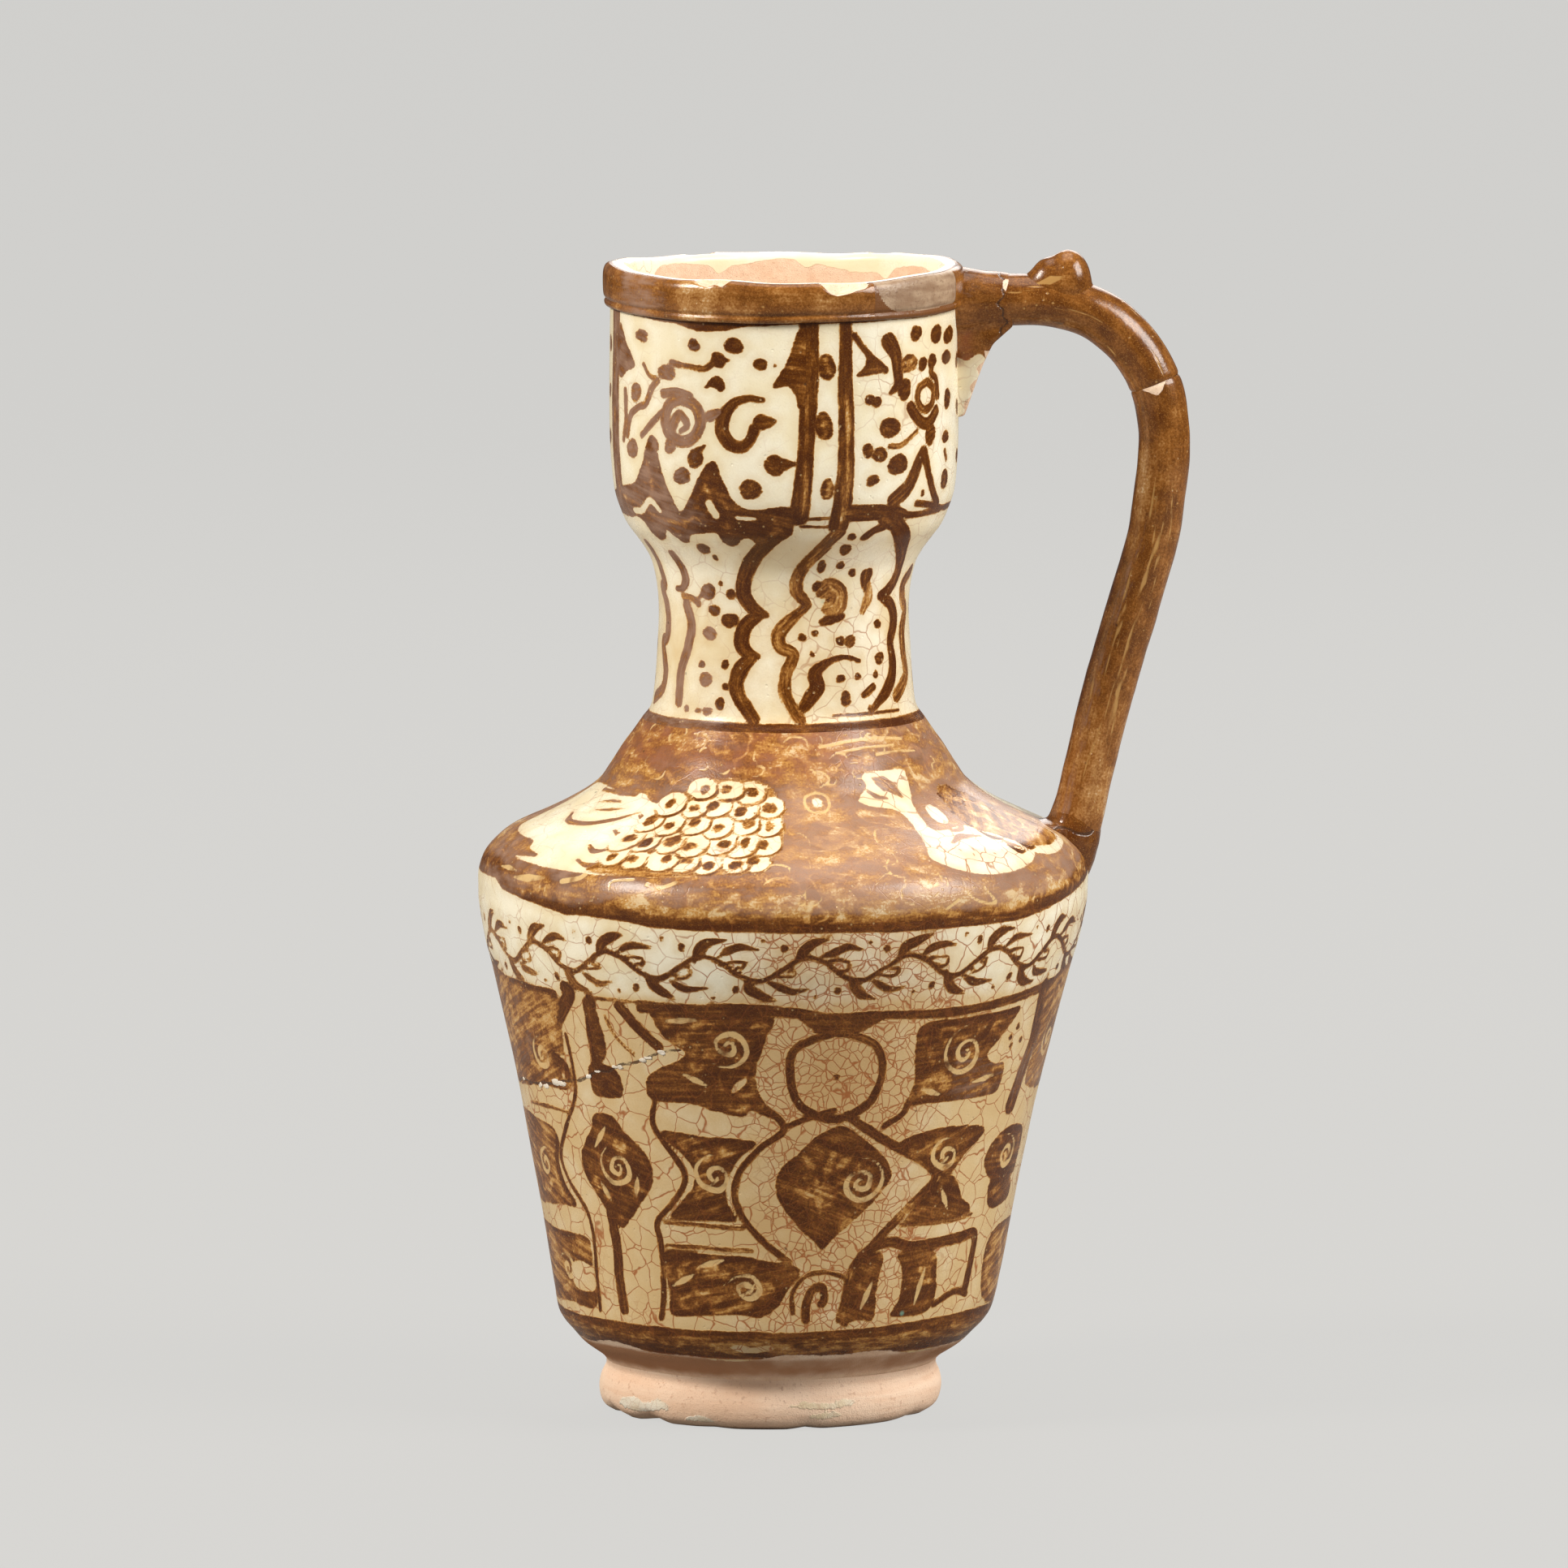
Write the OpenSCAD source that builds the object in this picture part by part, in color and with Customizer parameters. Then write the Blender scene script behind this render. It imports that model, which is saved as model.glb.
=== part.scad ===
// Lustre-painted jug with a hidden drinking passage, built from luted clay sections.
// Millimetres, +Z up, origin on the jug's axis at the plane that it stands on.
// The handle lies in the XZ plane, on the +X side.

/* [Foot] */
// Height of the foot ring
foot_h = 10.5; // [8:0.5:14]
// Radius of the foot ring where it bulges most
foot_bulge_r = 35.4; // [34.5:0.1:38]
// Height of that bulge above the ground
foot_bulge_z = 4.5; // [3:0.5:6]
// Radius of the foot ring at the waist under the body
foot_waist_r = 34; // [32.5:0.1:34.4]
// Outer radius of the face that the jug stands on
foot_base_r = 32; // [30:0.1:34]
// Radius of the recess under the foot
foot_recess_r = 26; // [22:0.5:28]

/* [Body] */
// Height of the sloping heel under the wall
heel_h = 10.5; // [8:0.5:13]
// Outer radius of the wall just above the heel
heel_r = 44.8; // [42:0.2:48]
// Height of the wall from the heel to the shoulder seam
body_h = 87; // [75:1:100]
// Outer radius of the wall at the shoulder seam
body_top_r = 62.9; // [60:0.1:66]
// Thickness of the wall
wall_t = 4.8; // [4:0.1:6]
// Radius of the disc that closes the floor
floor_r = 30; // [28.5:0.5:32]
// Thickness of that disc
floor_t = 5.5; // [4:0.5:7]

/* [Shoulder] */
// Height of the shoulder from its seam on the wall to the neck
shoulder_h = 35; // [31:1:40]
// Radius of the knee where the shoulder turns up to the neck
knee_r = 38.6; // [36:0.2:41]
// Height of that knee above the seam on the wall
knee_h = 21; // [19:0.5:23]
// Thickness of the shoulder
shoulder_t = 5; // [4:0.1:6]

/* [Neck] */
// Height of the neck
neck_h = 38; // [32:1:46]
// Outer radius at the bottom of the neck
neck_base_r = 28.4; // [27:0.2:31]
// Outer radius at the waist of the neck
neck_waist_r = 25.7; // [24:0.1:27]
// Height of that waist above the bottom of the neck
neck_waist_h = 22; // [16:1:26]
// Thickness of the neck
neck_t = 4.2; // [3.5:0.1:5]

/* [Collar] */
// Height of the cup-shaped collar
collar_h = 55.3; // [48:0.5:62]
// Outer radius at the bottom of the collar
collar_base_r = 30.4; // [29:0.2:32]
// Outer radius of the collar's straight wall
collar_r = 35.7; // [34.5:0.1:38]
// Height of the rounded stretch at the bottom of the collar
collar_bowl_h = 18; // [14:0.5:24]
// Thickness of the collar
collar_t = 3.5; // [2.5:0.1:5]

/* [Rim band] */
// Height of the band that is wrapped round the lip
band_h = 8.4; // [6:0.2:11]
// Thickness of the band
band_t = 1.5; // [1:0.1:2.5]
// Rounding along the band's outer edges
band_round = 0.7; // [0.3:0.1:0.9]
// Direction of the middle of the rebuilt stretch of the band, in degrees from +X
patch_dir = -40; // [-60:1:-28]
// Width of that stretch, in degrees
patch_sweep = 40; // [20:1:44]

/* [Handle] */
// Diameter of the handle
handle_d = 10.8; // [9:0.2:13]
// Depth of the handle's upper arm below the lip, to its centre
handle_drop = 7.3; // [6.5:0.1:9]
// Reach of the handle from the collar's wall to its furthest centre line
handle_reach = 42.5; // [38:0.5:48]
// Radius of the bend at the top of the handle
bend_r = 26; // [20:0.5:29]
// Radius of the sweep below the bend
sweep_r = 38; // [30:1:60]
// Turn that is left below the mended break until the handle runs straight down, in degrees
break_a = 20; // [10:1:35]
// Distance of the handle's root in from the shoulder's edge
root_inset = 4; // [3:0.2:6]
// Depth of the shaft's flat foot below its root, in the luting clay
root_sink = 3; // [1.5:0.5:4]

/* [Luting clay] */
// Length of the clay along the handle at either end
lute_l = 9; // [6:0.5:12]
// Thickness of the clay at its edge on the handle
lute_edge = 0.4; // [0.3:0.1:0.8]
// Thickness of the clay round the arm, at the collar
arm_lute_t = 2.6; // [1.5:0.1:4]
// Thickness of the clay round the shaft, at the shoulder's edge
root_lute_t = 1.9; // [1.2:0.1:2.6]
// Depth of the clay web under the arm
web_h = 18; // [12:0.5:24]
// Length of that web along the arm
web_l = 12.5; // [10:0.5:13.5]
// Width of that web
web_w = 8; // [5:0.2:9]

/* [Thumb knob] */
// Radius of the knob
knob_r = 6.2; // [5:0.1:7]
// Height of the knob above the handle
knob_h = 6; // [4:0.1:7]
// Place of the knob along the bend, in degrees from its start
knob_a = 13; // [8:1:20]

/* [Drinking passage] */
// Diameter of the bore in the handle
bore_d = 4; // [3:0.2:5]
// Diameter of the finger hole under the arm
finger_d = 3; // [2:0.2:3.6]
// Distance of the finger hole from the collar's wall
finger_x = 16; // [15.5:0.5:17]
// Diameter of the hole that joins the dip tube to the handle's bore
link_d = 3.4; // [2.4:0.1:3.6]
// Diameter of the dip tube
tube_d = 7; // [6:0.2:9]
// Gap between the dip tube and the wall
tube_gap = 1.2; // [0.8:0.1:2]
// Gap between the dip tube's lower end and the floor
tube_foot_gap = 6; // [3:0.5:12]
// Radius of the lump of clay that holds the dip tube's upper end
seat_r = 9; // [8.4:0.2:10]

/* [Repairs] */
// Diameter of the plaster plugs along the mended crack
plug_d = 2.6; // [1.5:0.1:3.5]
// Depth of the plugs
plug_depth = 1.6; // [1:0.1:2.4]
// Height of the first plug above the ground
plug_z = 70; // [50:0.5:85]
// Rise of the crack from one plug to the next
plug_rise = 2.7; // [0:0.1:3]
// Direction of the first plug, in degrees from +X
plug_dir = -164; // [-170:1:-140]
// Angle from one plug to the next
plug_step = 12.5; // [7:0.5:13]
// Number of plugs
plug_count = 5; // [2:1:6]

/* [Hidden] */
$fn = 96;
// Facets of a section where a small piece follows its face
fine = 256;

// Steps that a curved stretch of a profile is drawn in
steps = 10;
// Length by which a cutting tool runs past what it cuts
over = 1;

// Heights of the seams between the sections
heel_top_z = foot_h + heel_h;
shoulder_z = heel_top_z + body_h;
neck_z = shoulder_z + shoulder_h;
collar_z = neck_z + neck_h;
lip_z = collar_z + collar_h;
bowl_top_z = collar_z + collar_bowl_h;
band_z = lip_z - band_h;
floor_z = foot_h + floor_t;

// Guide points of the curved stretches, as shares of the way out and of the way up
foot_guides = [[0.7, 0], [1, 0.4]];
foot_waist_guides = [[0, 0.5], [1, 0.6]];
heel_turns = [[0.82, 0.74], [0.96, 0.88]];
wall_guides = [[0.4, 0.55], [0.86, 0.8]];
brow = [0.62, 0.76];
brow_guides = [[0, 0.44], [0.22, 0.59]];
knee_guides = [[1, 0.93], [0.3, 0.3]];
waist_guides = [[1, 0.12], [1, 0.8]];
flare_guides = [[0, 0.6], [0.48, 0.75]];
bowl_guides = [[0.66, 0.15], [1, 0.63]];
web_guides = [[0.36, 0.42], [0.44, 0.92]];

function along(a, b, t) = a + (b - a) * t;

// The point at a share of the way out and a share of the way up from one point to another
function place(a, b, share) = [along(a[0], b[0], share[0]), along(a[1], b[1], share[1])];

function bezier(p, n = steps) = [
  for (i = [0 : n])
    let (t = i / n, s = 1 - t)
      s * s * s * p[0] + 3 * s * s * t * p[1] + 3 * s * t * t * p[2] + t * t * t * p[3]
];

// A curve from one point to another, led by two guide points
function curve(a, b, guides) = bezier([a, place(a, b, guides[0]), place(a, b, guides[1]), b]);

function reversed(list) = [for (i = [len(list) - 1 : -1 : 0]) list[i]];

// All points of a list but its first
function tail(list) = [for (i = [1 : 1 : len(list) - 1]) list[i]];

function unit(v) = v / norm(v);

// The inner face of a wall: each point moves in along the profile's normal, and the ends stay on their seams
function inner_face(outer, t) = [
  for (i = [0 : len(outer) - 1])
    let (
      last = len(outer) - 1,
      run = unit(outer[min(i + 1, last)] - outer[max(i - 1, 0)]),
      normal = [run[1], -run[0]]
    )
      (i == 0 || i == last) ? [outer[i][0] - t, outer[i][1]] : outer[i] - t * normal
];

// The inner face of a steep wall: each point moves straight in
function inset(outer, t) = [for (p = outer) [p[0] - t, p[1]]];

// The radius at a height on a profile that rises from its first point to its last
function radius_at(outline, z) = lookup(z, [for (p = outline) [p[1], p[0]]]);

// Outer profiles of the sections, from the bottom up, as radius and height
foot_base = [foot_base_r, 0];
foot_bulge = [foot_bulge_r, foot_bulge_z];
foot_top = [foot_waist_r, foot_h];
foot_outline = concat(
  curve(foot_base, foot_bulge, foot_guides),
  tail(curve(foot_bulge, foot_top, foot_waist_guides))
);

heel_top = [heel_r, heel_top_z];
heel_outline = [foot_top, for (turn = heel_turns) place(foot_top, heel_top, turn), heel_top];

wall_top = [body_top_r, shoulder_z];
wall_outline = curve(heel_top, wall_top, wall_guides);

knee = [knee_r, shoulder_z + knee_h];
neck_base = [neck_base_r, neck_z];
brow_point = place(wall_top, knee, brow);
shoulder_outline = concat(
  bezier([
    wall_top,
    place(wall_top, knee, brow_guides[0]),
    place(wall_top, knee, brow_guides[1]),
    brow_point
  ]),
  tail(bezier([
    brow_point,
    place(wall_top, knee, knee_guides[0]),
    place(knee, neck_base, knee_guides[1]),
    neck_base
  ]))
);

waist = [neck_waist_r, neck_z + neck_waist_h];
collar_base = [collar_base_r, collar_z];
neck_outline = concat(
  curve(neck_base, waist, waist_guides),
  tail(curve(waist, collar_base, flare_guides))
);

bowl_outline = curve(collar_base, [collar_r, bowl_top_z], bowl_guides);

// Solid of revolution of a closed profile, its seam on the side away from the handle
module turned(points, facets = $fn) {
  rotate([0, 0, 180]) rotate_extrude($fn = facets) polygon(points);
}

// Everything that an outer profile encloses, down to the axis
module envelope(outline, facets = $fn) {
  turned(concat([[0, outline[0][1]]], outline, [[0, outline[len(outline) - 1][1]]]), facets);
}

module foot_ring() {
  color("rosybrown")
    turned(concat([[foot_recess_r, 0]], foot_outline, [[foot_recess_r, foot_h]]));
}

module base_disc() {
  color("rosybrown")
    translate([0, 0, foot_h]) cylinder(r = floor_r, h = floor_t);
}

// The wall's inner face, from its corner on the floor up to the shoulder seam
wall_inner = inner_face(wall_outline, wall_t);
wall_face = concat([[wall_inner[1][0] - wall_t, floor_z]], tail(wall_inner));

module body_wall() {
  color("wheat") difference() {
    turned(concat(
      [[floor_r, foot_h]], heel_outline, tail(wall_outline), reversed(wall_face), [[floor_r, floor_z]]
    ));
    plug_row();
  }
}

module shoulder() {
  color("burlywood") difference() {
    turned(concat(shoulder_outline, reversed(inner_face(shoulder_outline, shoulder_t))));
    shaft_bore();
    link_hole();
  }
}

module neck() {
  color("wheat") turned(concat(neck_outline, reversed(inset(neck_outline, neck_t))));
}

// The neck and the collar have the same bore where they meet, and the mouth is inside the collar's wall
neck_bore_r = collar_base_r - neck_t;
mouth_r = collar_r - collar_t;

module collar() {
  bowl_inner = curve([neck_bore_r, collar_z], [mouth_r, bowl_top_z], bowl_guides);
  color("wheat") difference() {
    turned(concat(bowl_outline, [[collar_r, lip_z], [mouth_r, lip_z]], reversed(bowl_inner)));
    arm_bore();
  }
}

// A stretch of the band round the lip, its outer edges rounded
module band_stretch(from, sweep) {
  rotate([0, 0, from]) rotate_extrude(angle = sweep) polygon([
    [collar_r, band_z],
    [collar_r + band_t - band_round, band_z],
    [collar_r + band_t, band_z + band_round],
    [collar_r + band_t, lip_z - band_round],
    [collar_r + band_t - band_round, lip_z],
    [collar_r, lip_z]
  ]);
}

module rim_band() {
  color("saddlebrown") difference() {
    band_stretch(patch_dir + patch_sweep / 2, 360 - patch_sweep);
    arm_bore();
  }
}

module rim_patch() {
  color("dimgray") band_stretch(patch_dir - patch_sweep / 2, patch_sweep);
}

// Centre line of the handle: an arm, a bend down to the mended break, a wider sweep and a straight shaft
arm_z = lip_z - handle_drop;
reach_x = collar_r + handle_reach;
break_v = [cos(break_a), sin(break_a)];
sweep_c = [reach_x - sweep_r, arm_z - bend_r - (sweep_r - bend_r) * break_v[1]];
bend_c = sweep_c + (sweep_r - bend_r) * break_v;
arm_l = bend_c[0] - mouth_r;

// The root is where the centre line meets the shoulder, and the shaft leans so as to reach it
root_r = body_top_r - root_inset;
root = [root_r, lookup(-root_r, [for (p = shoulder_outline) [-p[0], p[1]]])];
root_v = root - sweep_c;
lean_a = -atan2(root_v[1], root_v[0]) - acos(sweep_r / norm(root_v));
shaft_v = [-sin(lean_a), -cos(lean_a)];
shaft_l = norm(root - sweep_c - sweep_r * [cos(lean_a), -sin(lean_a)]);

// Places its children at the centre of the bend, with the arm above and the break ahead
module at_bend() {
  translate([bend_c[0], 0, bend_c[1]]) children();
}

// Places its children at the centre of the sweep, with the shaft straight down at its side
module at_sweep() {
  translate([sweep_c[0], 0, sweep_c[1]]) rotate([0, lean_a, 0]) children();
}

// The arm and the bend as one round bar, with an angle by which it runs past the break
module arch_bar(d, back = 0, past = 0) {
  at_bend() {
    translate([0, 0, bend_r]) rotate([0, -90, 0]) cylinder(d = d, h = arm_l + back);
    rotate([0, -90, 0]) rotate([-90, 0, 0])
      rotate_extrude(angle = 90 - break_a + past) translate([bend_r, 0]) circle(d = d);
  }
}

// The sweep and the shaft as one round bar, run past the root and past the break
module shaft_bar(d, below, past = 0) {
  at_sweep() {
    translate([sweep_r, 0, 0]) rotate([180, 0, 0]) cylinder(d = d, h = shaft_l + below);
    rotate([90, 0, 0])
      rotate_extrude(angle = break_a + lean_a + past) translate([sweep_r, 0]) circle(d = d);
  }
}

// Angle by which the two stretches of the handle's bore run past the break
past_a = 2;
// The bore opens into the mouth at one end, and ends under the shoulder at the other
bore_end = root + shoulder_t * shaft_v;

module arm_bore() {
  arch_bar(bore_d, over, past_a);
}

module shaft_bore() {
  shaft_bar(bore_d, shoulder_t, past_a);
}

module finger_hole() {
  translate([collar_r + finger_x, 0, arm_z - handle_d / 2 - over])
    cylinder(d = finger_d, h = handle_d / 2 + over);
}

// What the arm meets: the collar and its band
module mouth_envelope() {
  translate([0, 0, collar_z]) cylinder(r = collar_r, h = collar_h);
  translate([0, 0, band_z]) cylinder(r = collar_r + band_t, h = band_h);
}

// Everything below a height
module ground_to(z) {
  cylinder(r = reach_x + handle_d, h = z);
}

module handle_arch() {
  color("sienna") difference() {
    arch_bar(handle_d);
    mouth_envelope();
    arm_bore();
    finger_hole();
  }
}

// The shaft down to its flat foot, before it is fitted to the shoulder
module footed_shaft() {
  difference() {
    shaft_bar(handle_d, handle_d);
    ground_to(root[1] - root_sink);
  }
}

module handle_shaft() {
  color("sienna") difference() {
    footed_shaft();
    envelope(shoulder_outline, fine);
    shaft_bore();
  }
}

module thumb_knob() {
  top = bend_r + handle_d / 2 + knob_h - knob_r;
  color("sienna") difference() {
    at_bend() translate([top * sin(knob_a), 0, top * cos(knob_a)]) sphere(r = knob_r);
    arch_bar(handle_d);
  }
}

// Clay that binds the arm to the collar, with a hollow-faced web under the arm
module upper_lute() {
  arm_r = handle_d / 2;
  web_low = [collar_r, arm_z - arm_r - web_h];
  web_end = [collar_r + web_l, arm_z - arm_r];
  web_face = curve(web_low, web_end, web_guides);
  color("sienna") difference() {
    union() {
      translate([collar_r, 0, arm_z]) rotate([0, 90, 0])
        cylinder(r1 = arm_r + arm_lute_t, r2 = arm_r + lute_edge, h = band_t + lute_l);
      rotate([90, 0, 0]) linear_extrude(web_w, center = true)
        polygon(concat([[mouth_r, web_low[1]]], web_face, [[web_end[0], arm_z], [mouth_r, arm_z]]));
    }
    mouth_envelope();
    arch_bar(handle_d);
    translate([0, 0, lip_z]) cylinder(r = reach_x, h = handle_d);
  }
}

// Clay that binds the shaft to the shoulder, down to the shoulder's seam
module lower_lute() {
  shaft_r = handle_d / 2;
  drop = (root[1] - shoulder_z) / cos(lean_a) + shaft_r;
  color("sienna") difference() {
    at_sweep() translate([sweep_r, 0, lute_l - shaft_l]) rotate([180, 0, 0])
      cylinder(r1 = shaft_r + lute_edge, r2 = shaft_r + root_lute_t, h = lute_l + drop);
    ground_to(shoulder_z);
    envelope(shoulder_outline, fine);
    footed_shaft();
  }
}

// The dip tube hangs along the inner face of the wall, from the clay seat to just above the floor
tube_top_z = shoulder_z - tube_d / 2;
tube_end_z = floor_z + tube_foot_gap;
// It runs beside the line between two points of that face, clear of what stands in furthest from the line
face_end = [radius_at(wall_face, tube_end_z), tube_end_z];
face_top = [radius_at(wall_face, tube_top_z), tube_top_z];
face_run = unit(face_top - face_end);
face_bulge = max(concat([0], [
  for (p = wall_face)
    if (p[1] > tube_end_z && p[1] < tube_top_z) (p - face_end) * [-face_run[1], face_run[0]]
]));
tube_off = [(tube_d / 2 + tube_gap + face_bulge) / face_run[1], 0];
tube_top = face_top - tube_off;
tube_end = face_end - tube_off;
tube_a = atan2(face_run[0], face_run[1]);
tube_l = norm(tube_top - tube_end);
// The joining hole starts inside the tube and ends inside the handle's bore
link_low = tube_top - over * [sin(tube_a), cos(tube_a)];
link_high = bore_end - over * shaft_v;
link_run = link_high - link_low;

module tube_bar(d, extra = 0) {
  translate([tube_end[0], 0, tube_end[1]]) rotate([0, tube_a, 0])
    translate([0, 0, -extra]) cylinder(d = d, h = tube_l + 2 * extra);
}

module link_hole() {
  translate([link_low[0], 0, link_low[1]]) rotate([0, atan2(link_run[0], link_run[1]), 0])
    cylinder(d = link_d, h = norm(link_run));
}

module dip_tube() {
  color("rosybrown") difference() {
    tube_bar(tube_d);
    tube_bar(bore_d, over);
  }
}

// A lump of clay in the corner under the shoulder, round the tube's upper end and the joining hole
module tube_seat() {
  seat_c = (tube_top + bore_end) / 2;
  color("rosybrown") difference() {
    intersection() {
      translate([seat_c[0], 0, seat_c[1]]) sphere(r = seat_r);
      union() {
        envelope(wall_inner);
        envelope(inner_face(shoulder_outline, shoulder_t));
      }
    }
    tube_bar(tube_d);
    shaft_bore();
    link_hole();
  }
}

// Plaster plugs set into the outer face of the wall, along a mended crack
module plug_row() {
  for (i = [0 : plug_count - 1])
    let (z = plug_z + i * plug_rise, r = radius_at(wall_outline, z))
      rotate([0, 0, plug_dir + i * plug_step]) translate([r - plug_depth, 0, z])
        rotate([0, 90, 0]) cylinder(d = plug_d, h = plug_depth + over);
}

module plaster_plugs() {
  color("white") intersection() {
    plug_row();
    envelope(wall_outline, fine);
  }
}

foot_ring();
base_disc();
body_wall();
shoulder();
neck();
collar();
rim_band();
rim_patch();
handle_arch();
handle_shaft();
thumb_knob();
upper_lute();
lower_lute();
dip_tube();
tube_seat();
plaster_plugs();
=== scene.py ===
import math
import random

import bmesh
import bpy
import numpy as np
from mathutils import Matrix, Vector


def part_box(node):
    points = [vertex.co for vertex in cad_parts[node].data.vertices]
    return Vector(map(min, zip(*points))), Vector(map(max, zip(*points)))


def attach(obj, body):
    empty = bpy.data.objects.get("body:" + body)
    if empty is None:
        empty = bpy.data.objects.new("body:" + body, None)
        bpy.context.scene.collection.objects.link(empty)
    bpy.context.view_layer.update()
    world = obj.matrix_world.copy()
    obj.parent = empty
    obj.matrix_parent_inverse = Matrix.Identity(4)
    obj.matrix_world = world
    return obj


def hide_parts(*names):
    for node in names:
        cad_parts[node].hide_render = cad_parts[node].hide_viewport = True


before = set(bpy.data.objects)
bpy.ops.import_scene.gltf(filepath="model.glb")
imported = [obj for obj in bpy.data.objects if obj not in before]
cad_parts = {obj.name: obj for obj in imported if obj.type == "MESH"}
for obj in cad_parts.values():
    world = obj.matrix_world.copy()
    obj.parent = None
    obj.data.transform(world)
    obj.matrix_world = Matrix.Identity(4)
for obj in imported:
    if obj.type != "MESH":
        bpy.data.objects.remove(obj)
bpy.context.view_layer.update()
scene = bpy.context.scene
scene.view_settings.view_transform = "Standard"
mm = 0.001

# camera, floor and lights
studio = {
    "distance": 4.0, "elevation": 6.9, "aimHeight": 0.1291, "lens": 447, "sensor": 36, "farthest": 60,
    "floorSize": 24, "floorColour": (128, 126, 124), "floorRough": 0.9,
    "backColour": (222, 221, 218), "backShare": 0.86,
    "worldColour": (236, 238, 242), "worldStrength": 0.12,
    "lamps": [  # name, place, aim height, size, watts, colour
        ("key", (-1.27, -0.59, 1.1), 0.13, 0.5, 29, (255, 247, 236)),
        ("fill", (1.27, -0.59, 1.1), 0.13, 0.9, 33, (255, 250, 243)),
        ("top", (0.0, 0.1, 1.5), 0.1, 1.0, 6, (255, 252, 248)),
        ("back", (0.2, 1.4, 0.9), 0.12, 0.9, 9, (255, 252, 248)),
    ],
}


# a colour written in 0 to 255, as the linear colour that the tools take
def toned(colour, alpha=True):
    line = [c / 255 / 12.92 if c <= 10 else ((c / 255 + 0.055) / 1.055) ** 2.4 for c in colour]
    return (*line, 1.0) if alpha else tuple(line)


def addObject(name, data):
    thing = bpy.data.objects.new(name, data)
    scene.collection.objects.link(thing)
    return thing


lift = math.radians(studio["elevation"])
camera = addObject("camera", bpy.data.cameras.new("camera"))
camera.data.lens, camera.data.sensor_width = studio["lens"], studio["sensor"]
camera.data.clip_end = studio["farthest"]
camera.location = (0, -studio["distance"] * math.cos(lift),
                   studio["aimHeight"] + studio["distance"] * math.sin(lift))
camera.rotation_euler = (math.pi / 2 - lift, 0, 0)
scene.camera = camera

for lampName, place, aim, size, watts, colour in studio["lamps"]:
    lamp = addObject(lampName, bpy.data.lights.new(lampName, "AREA"))
    lamp.data.size, lamp.data.energy, lamp.data.color = size, watts, toned(colour, False)
    lamp.location = place
    lamp.rotation_euler = (Vector((0, 0, aim)) - Vector(place)).to_track_quat("-Z", "Y").to_euler()

world = bpy.data.worlds.new("studioWorld")
world.use_nodes = True
sky = world.node_tree.nodes["Background"].inputs
sky["Color"].default_value = toned(studio["worldColour"])
sky["Strength"].default_value = studio["worldStrength"]
scene.world = world


# one wrapper for node sockets, used by the materials and the geometry trees
class Wire:
    def __init__(self, board, socket):
        self.board, self.socket = board, socket

    def maths(self, operation, first, second):
        return self.board.add("ShaderNodeMath", {"operation": operation}, {0: first, 1: second})

    def __add__(self, other):
        return self.maths("ADD", self, other)

    __radd__ = __add__

    def __sub__(self, other):
        return self.maths("SUBTRACT", self, other)

    def __rsub__(self, other):
        return self.maths("SUBTRACT", other, self)

    def __mul__(self, other):
        return self.maths("MULTIPLY", self, other)

    __rmul__ = __mul__


class Board:
    def __init__(self, tree):
        self.tree = tree
        tree.nodes.clear()

    def add(self, kind, settings=None, inputs=None, out=0):
        node = self.tree.nodes.new(kind)
        for key, value in (settings or {}).items():
            if key == "stops":
                self.setStops(node.color_ramp, value)
            else:
                setattr(node, key, value)
        for key, value in (inputs or {}).items():
            if isinstance(value, Wire):
                self.tree.links.new(value.socket, node.inputs[key])
            else:
                node.inputs[key].default_value = value
        return Wire(self, node.outputs[out]) if len(node.outputs) else node

    def setStops(self, ramp, stops):
        while len(ramp.elements) < len(stops):
            ramp.elements.new(1.0)
        for element, (position, colour) in zip(ramp.elements, stops):
            element.position, element.color = position, toned(colour)


def newMaterial(name):
    material = bpy.data.materials.new(name)
    material.use_nodes = True
    return material, Board(material.node_tree)


def closeMaterial(board, colour, rough, relief, bump, **more):
    strength, depth = bump
    normal = board.add("ShaderNodeBump", {}, {"Strength": strength, "Distance": depth, "Height": relief})
    shader = board.add("ShaderNodeBsdfPrincipled", {}, {
        "Base Color": colour, "Roughness": rough, "Normal": normal, **more})
    board.add("ShaderNodeOutputMaterial", {}, {"Surface": shader})


def attribute(board, name, out="Fac"):
    return board.add("ShaderNodeAttribute", {"attribute_name": name}, out=out)


def noise(board, place, scale, detail=2.0, rough=0.5, out="Fac"):
    return board.add("ShaderNodeTexNoise", {}, {
        "Vector": place, "Scale": scale, "Detail": detail, "Roughness": rough}, out)


def cells(board, place, scale, feature="F1", out="Distance"):
    return board.add("ShaderNodeTexVoronoi", {"feature": feature}, {"Vector": place, "Scale": scale}, out)


def ease(board, value, low, high):
    return board.add("ShaderNodeMapRange", {"interpolation_type": "SMOOTHSTEP"},
                     {"Value": value, "From Min": low, "From Max": high})


def blend(board, share, first, second):
    first, second = (side if isinstance(side, Wire) else toned(side) for side in (first, second))
    return board.add("ShaderNodeMix", {"data_type": "RGBA"}, {0: share, 6: first, 7: second}, 2)


def vectorMaths(board, operation, first, second):
    return board.add("ShaderNodeVectorMath", {"operation": operation}, {0: first, 1: second})


# a coloured noise centred on zero, as an offset
def drift(board, place, scale, amount):
    centred = vectorMaths(board, "SUBTRACT", noise(board, place, scale, out="Color"), (0.5, 0.5, 0.5))
    return board.add("ShaderNodeVectorMath", {"operation": "SCALE"}, {0: centred, "Scale": amount})


def warp(board, place, scale, amount):
    return vectorMaths(board, "ADD", place, drift(board, place, scale, amount))


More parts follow.
